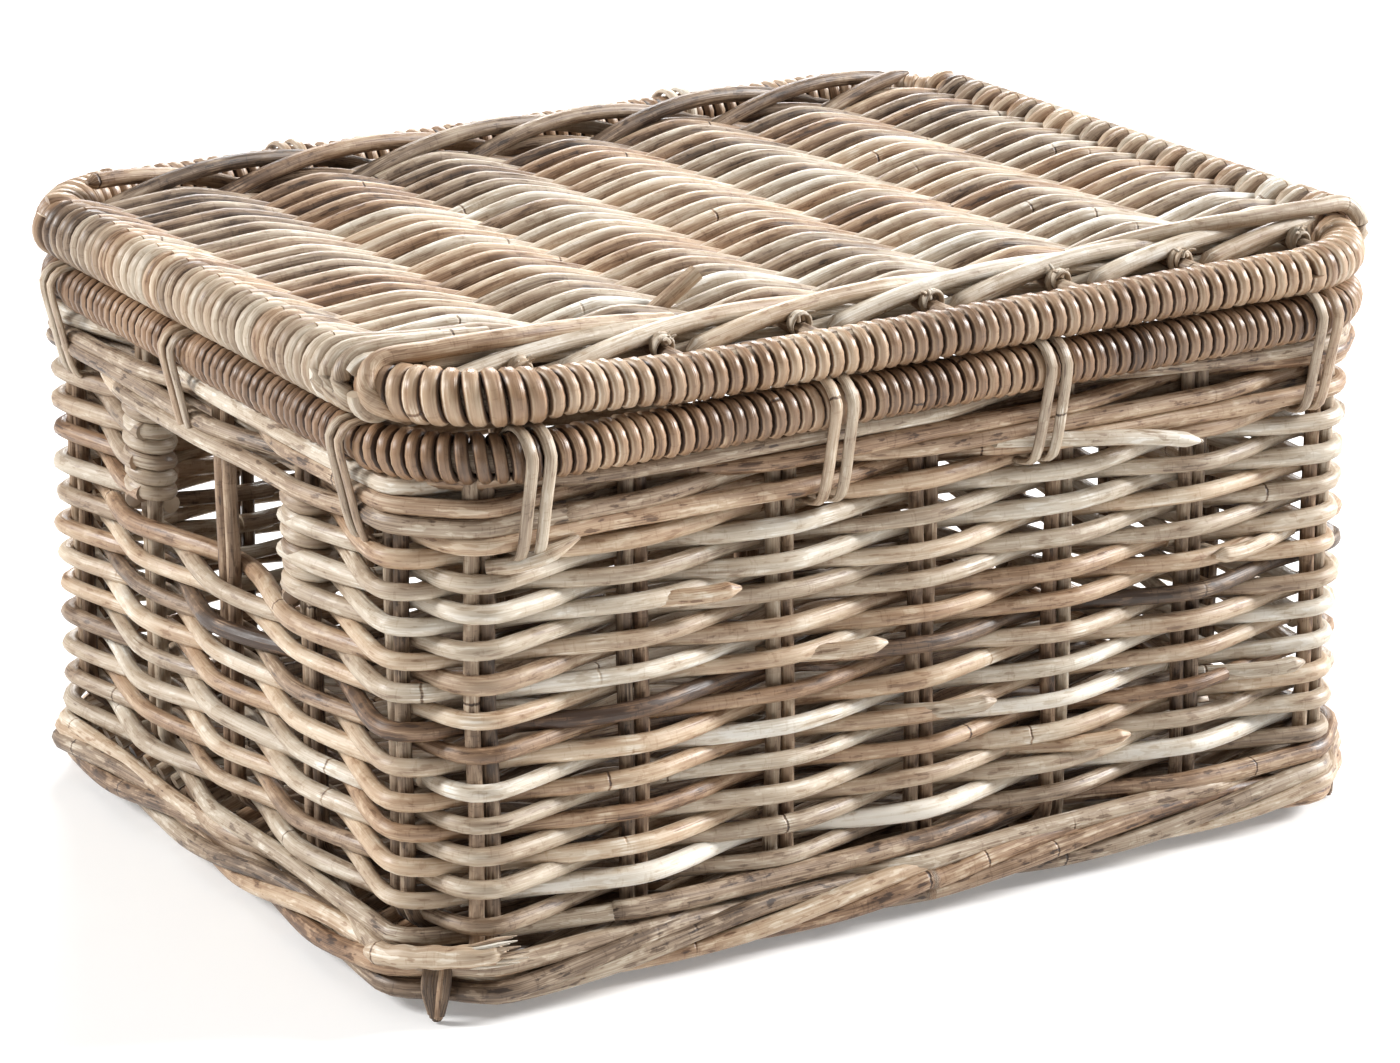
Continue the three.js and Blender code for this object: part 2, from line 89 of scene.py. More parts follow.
RIM_Z = middle("rim_pole").z
LID_Z = HINGE.z
RIBS = [middle(f"lid_stake_{i + 1}").x for i in range(7)]
RIB_HALF = half("lid_stake_1").y
PANEL_HALF = half("lid_weave").y
ROPE_Y = middle("lid_rope_back").y
JAMB = SIDE_STAKES[3]
HANDLE_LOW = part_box("handle_jamb_left_front")[0].z

# ---- sizes of the canes ----
STRAND_R = 4.6 * MM
STAKE_R = 4.2 * MM
STAKE_SPREAD = 4.4 * MM  # from a stake's middle to each of its two canes
SWING = 8.6 * MM  # how far a strand's middle lies from the stakes' plane as it passes one
STEP = 6 * MM  # between the points of a long cane
RING_REACH = 15.5 * MM  # from a pole's middle to the rings round it
SIDES = 10  # facets round a strand that shows
END_ACROSS = 50.0  # a cut end takes its pattern from far off the cane's side


def rgb(*colour):
    """A colour given as it looks on a screen, as the numbers a shader needs."""
    return tuple(((c / 255 + 0.055) / 1.055) ** 2.4 for c in colour)


# ---- laying canes ----
class Canes:
    """Collects canes into one mesh. Each point holds how far along and where round its cane it lies,
    and its cane's tint, which the material turns into fibres, nodes and colour."""

    def __init__(self):
        self.points, self.faces, self.flat, self.cane, self.tint = [], [], [], [], []
        self.count = 0

    def lay(self, path, radius, tint, lean=UP, wide=None, sides=8, closed=False, tips=(0, 0)):
        """A tube along path. radius is its half thickness towards lean and wide its half width.
        tips are the lengths over which each end narrows to a cut point."""
        path = np.asarray(path, float)
        n = len(path)
        if closed:
            tangent = np.roll(path, -1, 0) - np.roll(path, 1, 0)
        else:
            tangent = np.gradient(path, axis=0)
        tangent /= np.linalg.norm(tangent, axis=1, keepdims=True)
        lean = np.broadcast_to(np.asarray(lean, float), path.shape)
        a = lean - (lean * tangent).sum(1, keepdims=True) * tangent
        a /= np.linalg.norm(a, axis=1, keepdims=True)
        b = np.cross(tangent, a)
        radius = np.broadcast_to(np.asarray(radius, float), (n,)).copy()
        wide = radius.copy() if wide is None else np.broadcast_to(np.asarray(wide, float), (n,)).copy()
        steps = np.linalg.norm(np.diff(path, axis=0), axis=1)
        along = np.concatenate([[0], np.cumsum(steps)])
        for length, distance in ((tips[0], along), (tips[1], along[-1] - along)):
            if length:
                narrow = np.clip(0.25 + 0.75 * distance / length, 0.25, 1)
                radius *= narrow
                wide *= narrow ** 0.6
        seed = rng.uniform(0, 40)
        turn = (np.arange(sides) + 0.5) / sides * TAU
        c, s = np.cos(turn), np.sin(turn)
        ring = (
            path[:, None]
            + a[:, None] * (radius[:, None] * c)[..., None]
            + b[:, None] * (wide[:, None] * s)[..., None]
        )
        first = self.count
        self.points.append(ring.reshape(-1, 3))
        cane = np.stack(
            [
                np.repeat(along + seed, sides),
                np.tile(c * STRAND_R, n) + seed * 0.1,
                np.tile(s * STRAND_R, n),
            ],
            1,
        )
        self.cane.append(cane)
        tints = np.broadcast_to(np.asarray(tint, float), (n,))
        self.tint.append(np.repeat(tints, sides))
        spans = n if closed else n - 1
        i = np.arange(spans)[:, None] * sides
        j = np.arange(sides)[None]
        k = (j + 1) % sides
        after = (np.arange(spans)[:, None] + 1) % n * sides
        quads = np.stack([i + j, i + k, after + k, after + j], -1).reshape(-1, 4) + first
        self.faces.extend(quads.tolist())
        self.flat.extend([False] * len(quads))
        self.count += n * sides
        if not closed:
            for end, order in ((0, -1), (n - 1, 1)):
                lip = ring[end]
                centre = path[end] + tangent[end] * order * 0.5 * MM
                base = self.count
                self.points.append(np.vstack([lip, centre]))
                self.cane.append(np.tile([along[end] + seed, END_ACROSS, 0.0], (sides + 1, 1)))
                self.tint.append(np.full(sides + 1, tints[end]))
                for m in range(sides):
                    pair = (base + m, base + (m + 1) % sides)
                    self.faces.append([*(pair if order > 0 else pair[::-1]), base + sides])
                    self.flat.append(True)
                self.count += sides + 1
        return self

    def make(self, name, material, body, slot, nodes=()):
        mesh = bpy.data.meshes.new(name)
        points = np.concatenate(self.points)
        mesh.from_pydata(points.tolist(), [], self.faces)
        mesh.polygons.foreach_set("use_smooth", [not f for f in self.flat])
        cane = mesh.attributes.new("cane", "FLOAT_VECTOR", "POINT")
        cane.data.foreach_set("vector", np.concatenate(self.cane).astype(np.float32).ravel())
        tint = mesh.attributes.new("tint", "FLOAT", "POINT")
        tint.data.foreach_set("value", np.concatenate(self.tint).astype(np.float32))
        mesh.update()
        mesh.materials.append(material)
        piece = bpy.data.objects.new(name, mesh)
        bpy.context.scene.collection.objects.link(piece)
        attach(piece, body)
        if nodes:
            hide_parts(*nodes)
        return piece


# ---- paths ----
class Ring:
    """A rounded rectangle seen from above, measured by distance from the middle of the front,
    first to the right."""

    def __init__(self, half_x, half_y, corner):
        self.x, self.y, self.r = half_x, half_y, corner
        a, b, q = half_x - corner, half_y - corner, corner * math.pi / 2
        self.lengths = np.array([a, q, 2 * b, q, 2 * a, q, 2 * b, q, a])
        self.starts = np.concatenate([[0], np.cumsum(self.lengths)])
        self.length = self.starts[-1]

    def at(self, s):
        """Points and outward directions, both flat."""
        s = np.mod(np.asarray(s, float), self.length)
        leg = np.clip(np.searchsorted(self.starts, s, side="right") - 1, 0, 8)
        t = s - self.starts[leg]
        a, b, r = self.x - self.r, self.y - self.r, self.r
        point, out = np.zeros((*s.shape, 2)), np.zeros((*s.shape, 2))
        lines = {
            0: ((0, -self.y), (1, 0)),
            2: ((self.x, -b), (0, 1)),
            4: ((a, self.y), (-1, 0)),
            6: ((-self.x, b), (0, -1)),
            8: ((-a, -self.y), (1, 0)),
        }
        for k, (start, way) in lines.items():
            m = leg == k
            point[m] = np.array(start) + t[m, None] * np.array(way)
            out[m] = (way[1], -way[0])
        arcs = {1: (a, -b, -0.25), 3: (a, b, 0.0), 5: (-a, b, 0.25), 7: (-a, -b, 0.5)}
        for k, (cx, cy, start) in arcs.items():
            m = leg == k
            turn = start * TAU + t[m] / r
            out[m] = np.stack([np.cos(turn), np.sin(turn)], -1)
            point[m] = np.array([cx, cy]) + r * out[m]
        return point, out

    def nearest(self, x, y):
        s = np.arange(0, self.length, 0.5 * MM)
        point, _ = self.at(s)
        return s[np.argmin(((point - (x, y)) ** 2).sum(1))]


def wave(s, lengths, seed):
    """A smooth unsteady value near -1 to 1 along s."""
    shares = [math.sqrt(length / lengths[0]) for length in lengths]
    value = 0
    for i, (length, share) in enumerate(zip(lengths, shares)):
        value = value + share * np.sin(TAU * s / length + seed * (1.7 + i) + i)
    return value / sum(shares)


def spaced(path, step):
    """The same path with points an even distance apart."""
    path = np.asarray(path, float)
    d = np.concatenate([[0], np.cumsum(np.linalg.norm(np.diff(path, axis=0), axis=1))])
    n = max(int(round(d[-1] / step)), 2)
    at = np.linspace(0, d[-1], n + 1)
    return np.stack([np.interp(at, d, path[:, k]) for k in range(path.shape[1])], 1)


def rounded(corners, closed=False, per=12):
    """A smooth curve through given points (Catmull-Rom)."""
    p = np.asarray(corners, float)
    if closed:
        p = np.vstack([p[-1], p, p[0], p[1]])
    else:
        p = np.vstack([2 * p[0] - p[1], p, 2 * p[-1] - p[-2]])
    t = np.linspace(0, 1, per, endpoint=False)[:, None]
    parts = []
    for a, b, c, d in zip(p[:-3], p[1:-2], p[2:-1], p[3:]):
        curve = 2 * b + (c - a) * t + (2 * a - 5 * b + 4 * c - d) * t**2 + (3 * b - a - 3 * c + d) * t**3
        parts.append(0.5 * curve)
    if not closed:
        parts.append(p[-2][None])
    return np.vstack(parts)


WALL = Ring(WALL_X, WALL_Y, WALL_CORNER)
RIM = Ring(RIM_X, RIM_Y, RIM_CORNER)
STAKE_PLACES = np.sort(
    [WALL.nearest(x, y) for x in LONG_STAKES for y in (-WALL_Y, WALL_Y)]
    + [WALL.nearest(x, y) for y in SIDE_STAKES for x in (-WALL_X, WALL_X)]
)


def swing(s, places, signs, hold=5 * MM):
    """How a strand swings from stake to stake: signs says which side it passes each on. places
    must reach past both ends of s."""
    k = np.clip(np.searchsorted(places, s, side="right") - 1, 0, len(places) - 2)
    signs = np.asarray(signs, float)
    gap = places[k + 1] - places[k]
    t = np.clip((s - places[k] - hold) / (gap - 2 * hold), 0, 1)
    ease = 0.45 * (0.5 - 0.5 * np.cos(math.pi * t)) + 0.55 * t
    return signs[k] * (1 - ease) + signs[k + 1] * ease


def wall_swing(s, pattern):
    """swing() round the walls. pattern gives the side for each stake, repeated round the ring."""
    length = WALL.length
    places = np.concatenate([STAKE_PLACES - length, STAKE_PLACES, STAKE_PLACES + length])
    signs = np.tile(np.asarray(pattern, float), 3)
    return swing(np.mod(s, length), places, signs)


def wall_points(s, out, z, pull=CORNER_PULL):
    """Points at distances s round the walls, out from the stakes and at height z. pull is how far
    they cut across the corners."""
    point, way = WALL.at(s)
    pulled = np.asarray(out) - pull * 4 * (way[:, 0] * way[:, 1]) ** 2
    return np.column_stack([point + way * pulled[:, None], np.broadcast_to(z, s.shape)])


def pieces_of(s0, s1, first, lengths):
    """Cuts a run into strand lengths that overlap a little."""
    start = s0
    cuts = [start]
    while s1 - start > lengths[1]:
        start += first if len(cuts) == 1 else rng.uniform(*lengths)
        cuts.append(start)
    cuts.append(s1)
    return list(zip(cuts[:-1], cuts[1:]))


def strand_tint(base, spread=0.16):
    """One strand's tint, from 0 in its darkest shade to 1 in its lightest."""
    return float(np.clip(base + rng.normal(0, spread), 0, 1))


# ---- materials ----
GREY_SHADES = [
    (0.0, rgb(60, 46, 36)),
    (0.2, rgb(106, 86, 68)),
    (0.4, rgb(148, 128, 107)),
    (0.6, rgb(178, 162, 141)),
    (0.8, rgb(202, 191, 174)),
    (1.0, rgb(226, 221, 211)),
]
TAN_SHADES = [
    (0.0, rgb(68, 46, 32)),
    (0.2, rgb(116, 84, 58)),
    (0.4, rgb(158, 123, 92)),
    (0.6, rgb(186, 156, 125)),
    (0.8, rgb(206, 184, 156)),
    (1.0, rgb(226, 213, 194)),
]
WRAP_SHADES = [
    (0.0, rgb(66, 48, 35)),
    (0.25, rgb(108, 82, 60)),
    (0.5, rgb(144, 114, 88)),
    (0.7, rgb(170, 143, 116)),
    (0.85, rgb(196, 174, 149)),
    (1.0, rgb(222, 209, 190)),
]
NODE_EVERY = 230 * MM


def cane_material(
    name, shades, rough, coat=0.0, fibre=0.22, warm=TAN_SHADES, warmth=0.7, edges=0.0, peel=0.13, groove_shade=0.0
):
    """Peeled or unpeeled rattan: long fibres, blotches, and a cracked ring at some of its nodes.
    Each cane has a hue of its own between the two rows of shades. edges lightens one edge of a
    cane, partly its own cream edge and partly a painted highlight on the side the light falls on.
    groove paints shade on both sides of it where it meets its neighbours, the shade of the grooves."""
    material = bpy.data.materials.new(name)
    material.use_nodes = True
    tree = material.node_tree
    nodes, link = tree.nodes, tree.links.new
    shader = nodes["Principled BSDF"]

    def put(socket, value):
        if isinstance(value, (int, float)):
            socket.default_value = value
        else:
            link(value, socket)

    def work(operation, a, b=0.0, c=0.0):
        node = nodes.new("ShaderNodeMath")
        node.operation = operation
        for socket, value in zip(node.inputs, (a, b, c)):
            put(socket, value)
        return node.outputs[0]

    def ease(value, low, high, to_low, to_high):
        node = nodes.new("ShaderNodeMapRange")
        node.interpolation_type = "SMOOTHSTEP"
        for socket, number in zip(node.inputs[:5], (value, low, high, to_low, to_high)):
            put(socket, number)
        return node.outputs[0]

    place = nodes.new("ShaderNodeAttribute")
    place.attribute_name = "cane"
    tint = nodes.new("ShaderNodeAttribute")
    tint.attribute_name = "tint"

    def noise(scale, detail):
        stretch = nodes.new("ShaderNodeVectorMath")
        stretch.operation = "MULTIPLY"
        link(place.outputs["Vector"], stretch.inputs[0])
        stretch.inputs[1].default_value = scale
        node = nodes.new("ShaderNodeTexNoise")
        node.inputs["Scale"].default_value = 1.0
        node.inputs["Detail"].default_value = detail
        link(stretch.outputs[0], node.inputs["Vector"])
        return node.outputs[0]

    fibres = noise((14, 950, 950), 3)
    blotches = noise((38, 170, 170), 3)
    hairs = noise((40, 2300, 2300), 2)
    flakes = noise((75, 300, 300), 4)
    patches = noise((11, 9, 9), 2)
    hue = noise((0.9, 2.7, 0.0), 0)
    ticks = noise((620, 150, 150), 1)
    axis = nodes.new("ShaderNodeSeparateXYZ")
    link(place.outputs["Vector"], axis.inputs[0])
    along = work("FRACT", work("DIVIDE", axis.outputs[0], NODE_EVERY))
    wander = work("MULTIPLY_ADD", blotches, 3 * MM, -1.5 * MM)
    distance = work("ADD", work("MULTIPLY", work("SUBTRACT", along, 0.5), NODE_EVERY), wander)
    away = work("ABSOLUTE", distance)
    shown = ease(patches, 0.5, 0.56, 0.0, 1.0)
    crack = work("MULTIPLY", ease(away, 0.2 * MM, 1.0 * MM, 1.0, 0.0), shown)
    near_node = ease(away, 2 * MM, 7 * MM, 1.0, 0.0)
    scar = work("MULTIPLY", near_node, ease(fibres, 0.45, 0.6, 0.0, 1.0))

    level = tint.outputs["Fac"]
    for term, share in (
        (work("SUBTRACT", fibres, 0.5), fibre * 2),
        (work("SUBTRACT", blotches, 0.5), 0.6),
        (work("SUBTRACT", patches, 0.5), 0.5),
        (ease(ticks, 0.62, 0.7, 0.0, 1.0), -0.07),
        (work("SUBTRACT", hairs, 0.5), fibre * 1.4),
        (ease(flakes, 0.56, 0.64, 0.0, 1.0), peel),
        (ease(flakes, 0.34, 0.42, 1.0, 0.0), -1.4 * peel),
        (scar, 0.22),
    ):
        level = work("MULTIPLY_ADD", term, share, level)
    # Partly painted highlight: one edge of each cane is lightened, partly its own cream edge and partly the
    # light falling on that side.
    if edges:
        edge = ease(axis.outputs[2], 2.0 * MM, 3.3 * MM, 0.0, edges)
        level = work("ADD", level, edge)
    # Painted shade: the sides of a cane, where it meets its neighbours, are darkened for the shade that
    # falls in the grooves.
    if groove_shade:
        across = work("ABSOLUTE", axis.outputs[2])
        level = work("ADD", level, ease(across, 3.0 * MM, 4.1 * MM, 0.0, -groove_shade))
    level = work("MULTIPLY_ADD", crack, -0.5, level)
    mix = nodes.new("ShaderNodeMix")
    mix.data_type = "RGBA"
    link(ease(hue, 0.4, 0.62, 0.0, warmth), mix.inputs["Factor"])
    for socket, row in zip((mix.inputs[6], mix.inputs[7]), (shades, warm)):
        ramp = nodes.new("ShaderNodeValToRGB")
        link(level, ramp.inputs[0])
        stops = ramp.color_ramp.elements
        while len(stops) < len(row):
            stops.new(0.5)
        for stop, (position, colour) in zip(stops, row):
            stop.position = position
            stop.color = (*colour, 1)
        link(ramp.outputs[0], socket)
    link(mix.outputs[2], shader.inputs["Base Color"])
    link(ease(blotches, 0.3, 0.7, rough - 0.08, rough + 0.12), shader.inputs["Roughness"])
    if coat:
        shader.inputs["Coat Weight"].default_value = coat
        shader.inputs["Coat Roughness"].default_value = 0.22
    height = work("MULTIPLY_ADD", crack, -1.2, work("MULTIPLY_ADD", blotches, 0.8, fibres))
    height = work("MULTIPLY_ADD", hairs, 0.5, work("MULTIPLY_ADD", flakes, 0.7, height))
    bump = nodes.new("ShaderNodeBump")
    bump.inputs["Distance"].default_value = 0.45 * MM
    bump.inputs["Strength"].default_value = 0.75
    link(height, bump.inputs["Height"])
    link(bump.outputs[0], shader.inputs["Normal"])
    return material


WALL_CANE = cane_material("wall_cane", GREY_SHADES, 0.42)
BORDER_CANE = cane_material("border_cane", GREY_SHADES, 0.46, fibre=0.32, peel=0.2)
STAKE_CANE = cane_material("stake_cane", GREY_SHADES, 0.6, warmth=0.4)
POLE_CANE = cane_material("pole_cane", GREY_SHADES, 0.6, fibre=0.35)
# The wraps get painted shade in the grooves between them and, on one edge, a lighter line that is partly
# their cream edge and partly a painted highlight.
WRAP_CANE = cane_material(
    "wrap_cane", WRAP_SHADES, 0.4, coat=0.1, fibre=0.14, warmth=0.5, edges=0.3, peel=0.08, groove_shade=0.8
)
LASH_CANE = cane_material("lash_cane", GREY_SHADES, 0.38, warmth=0.5)
# The lid's canes get a little painted shade where they meet their neighbours.
LID_CANE = cane_material("lid_cane", GREY_SHADES, 0.43, groove_shade=0.2)
ROPE_CANE = cane_material("rope_cane", GREY_SHADES, 0.46, fibre=0.3, warmth=0.5)


def shaded(s, base, seed, depth=0.08):
    """A cane's tint, changing slowly along it."""
    return np.clip(base + depth * wave(s, (0.31, 0.12), seed), 0, 1)


# ---- stakes: hoops of paired canes, up one wall, under the base and up the other ----
def hoop(half, floor, top, bend):
    """A stake's run, flat: (place across the floor, height)."""
    turn = np.linspace(math.pi, 1.5 * math.pi, 10)
    left = np.column_stack([-half + bend + bend * np.cos(turn), floor + bend + bend * np.sin(turn)])
    right = np.column_stack([-left[::-1, 0], left[::-1, 1]])
    return np.vstack([[(-half, top)], left, right, [(half, top)]])


def stakes():
    for places, half_span, floor, side in (
        (LONG_STAKES, WALL_Y, LONG_FLOOR, False),
        (SIDE_STAKES, WALL_X, SIDE_FLOOR, True),
    ):
        for i, place in enumerate(places):
            canes = Canes()
            for side_of in (-1, 1):
                flat = spaced(hoop(half_span, floor, STAKE_TOP + 4 * MM, 20 * MM), 8 * MM)
                d = np.arange(len(flat)) * 8 * MM
                seed = rng.uniform(0, 9)
                sway = side_of * STAKE_SPREAD + 0.9 * MM * wave(d, (0.23, 0.11), seed)
                depth = 0.5 * MM * wave(d, (0.17, 0.09), seed + 3)
                u, z = flat[:, 0] * (1 + depth / half_span), flat[:, 1]
                path = np.column_stack([u, place + sway, z] if side else [place + sway, u, z])
                lean = (0, 1, 0) if side else (1, 0, 0)
                radius = STAKE_R * rng.uniform(0.93, 1.05)
                canes.lay(path, radius, shaded(d, rng.uniform(0.2, 0.5), seed), lean)
            name = f"stake_side_{i + 1}" if side else f"stake_long_{i + 1}"
            canes.make("canes_" + name, STAKE_CANE, "basket", "stake_cane", [name])


# ---- the woven walls ----
ROWS = 22
ROW_PITCH = (WEAVE_HIGH - WEAVE_LOW) / ROWS
HANDLE_ROWS = [r for r in range(ROWS) if WEAVE_LOW + (r + 0.5) * ROW_PITCH > HANDLE_LOW]
STAKE_COUNT = len(STAKE_PLACES)


def stake_index(x, y):
    return int(np.argmin(np.abs(STAKE_PLACES - WALL.nearest(x, y))))


HOLE_FRONT = {"left": stake_index(-WALL_X, -JAMB), "right": stake_index(WALL_X, -JAMB)}
HOLE_BACK = {"left": stake_index(-WALL_X, JAMB), "right": stake_index(WALL_X, JAMB)}


def stake_place(index):
    """The distance round the walls of a stake, counted on past the last one."""
    return STAKE_PLACES[index % STAKE_COUNT] + WALL.length * (index // STAKE_COUNT)


def outside(row, index):
    """Whether a row passes outside a stake, not inside."""
    return (row + index) % 2 == 1


def wall_side(s):
    """Which wall a strand counts with."""
    point, _ = WALL.at(np.array([s]))
    x, y = point[0] / (WALL_X, WALL_Y)
    if abs(y) > abs(x):
        return "front" if y < 0 else "back"
    return "left" if x < 0 else "right"


def wall_strand(canes, row, start, end, tint, tucked):
    """A strand of one row, from distance start to end round the wall. If tucked, it starts behind
    the end of the one before."""
    s = np.arange(start, end, 5 * MM)
    pattern = [1 if outside(row, i) else -1 for i in range(STAKE_COUNT)]
    seed = rng.uniform(0, 30)
    radius = np.clip(rng.normal(4.9, 0.3), 4.3, 5.4) * MM
    swell = 1 + 0.05 * wave(s, (0.2, 0.07), seed)
    out = wall_swing(s, pattern) * SWING * rng.normal(1.03, 0.05)
    out += 0.7 * MM * wave(s, (0.24, 0.1), seed + 5)
    if tucked:
        fade = np.clip(1 - (s - start) / (30 * MM), 0, 1)
        out -= fade * 5 * MM
    z = WEAVE_LOW + (row + 0.5) * ROW_PITCH + 1.5 * MM * wave(s, (0.9, 0.37), row * 0.35)
    z = z + 1.0 * MM * wave(s, (0.3, 0.13), seed)
    path = wall_points(s, out, z)
    canes[wall_side((start + end) / 2)].lay(path, radius * swell, shaded(s, tint, seed), sides=SIDES)


def wall_weave():
    canes = {side: Canes() for side in ("front", "back", "left", "right")}
    lap = 14 * MM
    for row in range(ROWS):
        if row in HANDLE_ROWS:
            spans = [
                (HOLE_FRONT["left"] - STAKE_COUNT, HOLE_FRONT["right"]),
                (HOLE_BACK["right"], HOLE_BACK["left"]),
            ]
        else:
            first = 2 * int(rng.integers(0, STAKE_COUNT // 2)) + row % 2
            spans = [(first, first + STAKE_COUNT)]
        for begin, stop in spans:
            inside = [i for i in range(begin + 1, stop) if not outside(row, i % STAKE_COUNT)]
            cuts = [begin]
            while stop - cuts[-1] > 13:
                wanted = cuts[-1] + int(rng.integers(7, 15))
                cuts.append(min(inside, key=lambda i: abs(i - wanted)))
            cuts.append(stop)
            for k, (a, b) in enumerate(zip(cuts[:-1], cuts[1:])):
                low, high = (stake_place(i) for i in (a, b))
                tint = strand_tint(0.56, 0.17)
                low -= lap * rng.uniform(0.5, 1.2)
                high += lap * rng.uniform(0.5, 1.2)
                wall_strand(canes, row, low, high, tint, k > 0)
    for side, made in canes.items():
        made.make(f"canes_wall_{side}", WALL_CANE, "basket", "wall_cane", [f"wall_weave_{side}"])


def jambs():
    """Strands turned round the stakes beside each handle hole."""
    for side, way in (("left", -1), ("right", 1)):
        for end, along in (("front", -1), ("back", 1)):
            canes = Canes()
            turns = len(HANDLE_ROWS) - 0.4
            t = np.linspace(0, turns, int(turns * 22))
            turn = t * TAU + 0.3
            x = way * (WALL_X + 9.6 * MM * np.cos(turn))
            y = along * JAMB + 12.8 * MM * np.sin(turn) + 0.8 * MM * np.sin(t * 2.1)
            z = HANDLE_LOW + 5.5 * MM + t * ROW_PITCH * 0.97
            lean = np.column_stack([way * np.cos(turn), np.sin(turn), 0 * t])
            path = np.column_stack([x, y, z])
            tint = np.clip(0.5 + 0.16 * np.sin(t * 1.9 + way) + 0.05 * np.sin(t * 9), 0, 1)
            canes.lay(path, 4.5 * MM, tint, lean, wide=4.7 * MM, sides=SIDES)
            node = f"handle_jamb_{side}_{end}"
            canes.make(f"canes_jamb_{side}_{end}", WALL_CANE, "basket", "wall_cane", [node])


# ---- the band above the weave and the border below it ----
WALE_LENGTHS = (0.9, 1.5)


def waled(canes, z, reach, depth, shift, radius, drift, tints):
    """A row of strands that pass outside three stakes and inside one."""
    pattern = [-depth / reach if (i + shift) % 4 == 0 else 1 for i in range(STAKE_COUNT)]
    start = rng.uniform(0, WALL.length)
    for a, b in pieces_of(start, start + WALL.length, rng.uniform(*WALE_LENGTHS), WALE_LENGTHS):
        s = np.arange(a - 15 * MM, b + 15 * MM, STEP)
        seed = rng.uniform(0, 30)
        out = wall_swing(s, pattern) * reach + 1.2 * MM * wave(s, (0.3, 0.12), seed)
        level = z + drift * wave(s, (0.62, 0.28), seed) + 1.5 * MM * np.clip(1 - (s - s[0]) / 0.05, 0, 1)
        size = radius * rng.uniform(0.92, 1.08) * (1 + 0.05 * wave(s, (0.17, 0.07), seed))
        tint = shaded(s, strand_tint(*tints), seed, 0.1)
        canes.lay(wall_points(s, out, level), size, tint, sides=SIDES, tips=(0.006, 0.01))


def top_band():
    """Four waled rows outside the stakes, and four plain ones inside that close the view through
    the band and up to the rim."""
    canes = Canes()
    for k in range(4):
        z = WEAVE_HIGH + 4.9 * MM + k * 8.7 * MM
        waled(canes, z, (10.2 - 0.6 * k) * MM, 8.5 * MM, k, 5.0 * MM, 1.9 * MM, (0.58, 0.13))
    for k in range(4):
        s = np.arange(0, WALL.length, STEP)
        out = (-7.5 if k < 3 else 0.5) * MM + 1.2 * MM * wave(s, (0.4, 0.2), k)
        z = WEAVE_HIGH + (7 + 9.6 * k) * MM + 1.0 * MM * wave(s, (0.5, 0.2), k + 4)
        canes.lay(wall_points(s, out, z), 4.7 * MM, shaded(s, 0.4, k), closed=True)
    canes.make("canes_top_band", BORDER_CANE, "basket", "border_cane", ["top_band"])


def border():
    """Two waled rows, and below them four strands twisted round one another."""
    canes = Canes()
    for k, z in enumerate((30.5, 39.5)):
        waled(canes, z * MM, (13.5 - 3 * k) * MM, 6 * MM, 2 * k + 1, 5.4 * MM, 2.2 * MM, (0.5, 0.12))
    strands, period = 4, WALL.length / 6
    for k in range(strands):
        seed = rng.uniform(0, 30)
        s = np.arange(0, WALL.length, STEP)
        turn = TAU * (s / period + k / strands) + 0.5 * wave(s, (0.7, 0.4), seed)
        out = 13.2 * MM + 4.6 * MM * np.sin(turn)
        z = BORDER_LOW + 13.4 * MM - 7.6 * MM * np.cos(turn)
        size = 5.4 * MM * rng.uniform(0.95, 1.06) * (1 + 0.05 * wave(s, (0.17, 0.07), seed))
        at_back = WALL.at(s)[0][:, 1] > 0
        path = wall_points(s, out, z, np.where(at_back, 14, 11) * MM)
        tint = shaded(s, strand_tint(0.46, 0.12), seed, 0.16)
        canes.lay(path, size, tint, sides=SIDES, closed=True)
    canes.make("canes_bottom_border", BORDER_CANE, "basket", "border_cane", ["bottom_border"])


def corner_feet():
    """A short dark stub of split cane under each corner of the border. Only the near one shows
    its whole face; the others are tucked further in."""
    for name, sx, sy in (
        ("front_left", -1, -1),
        ("front_right", 1, -1),
        ("back_right", 1, 1),
        ("back_left", -1, 1),
    ):
        canes = Canes()
        low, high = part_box("corner_foot_" + name)
        centre = (low + high) / 2
        out = np.array([sx, sy, 0]) / math.sqrt(2)
        across = np.array([-sy, sx, 0]) / math.sqrt(2)
        tucked = (0 if name == "front_left" else 10) * MM
        for k in range(5):
            side = (k - 2) * 2.4 * MM
            top = np.array([centre.x, centre.y, high.z - 6 * MM]) + across * side - out * (9 * MM + tucked)
            foot = np.array([centre.x, centre.y, low.z + (1.5 + 1.8 * abs(k - 2)) * MM])
            foot = foot + across * side * 0.45 - out * (rng.uniform(0.5, 2) * MM + tucked)
            knee = (top + foot) / 2 + out * 4 * MM + across * side * 0.4
            path = rounded([top, knee, foot], per=6)
            canes.lay(path, 2.4 * MM, 0.12 + 0.07 * k * (k % 2), out, wide=2.5 * MM)
        canes.make(f"canes_foot_{name}", POLE_CANE, "basket", "pole", ["corner_foot_" + name])


# ---- the base ----
def base():
    """Rows along the hamper, woven over and under the stakes that cross the floor."""
    canes = Canes()
    pitch, rows_each_side, reach = 9.25 * MM, 23, 287 * MM
    wall = 320 * MM
    places = np.array([-wall, *LONG_STAKES, wall])
    for j in range(-rows_each_side, rows_each_side + 1):
        s = np.arange(-reach, reach + 1 * MM, STEP)
        seed = rng.uniform(0, 30)
        signs = [1 if (i + j) % 2 else -1 for i in range(len(places))]
        z = LONG_FLOOR + swing(s, places, signs) * 8.2 * MM
        y = j * pitch + 0.6 * MM * wave(s, (0.3, 0.13), seed)
        canes.lay(np.column_stack([s, y, z]), 4.4 * MM, shaded(s, strand_tint(0.42, 0.12), seed))
    canes.make("canes_base", WALL_CANE, "basket", "wall_cane", ["base_weave"])


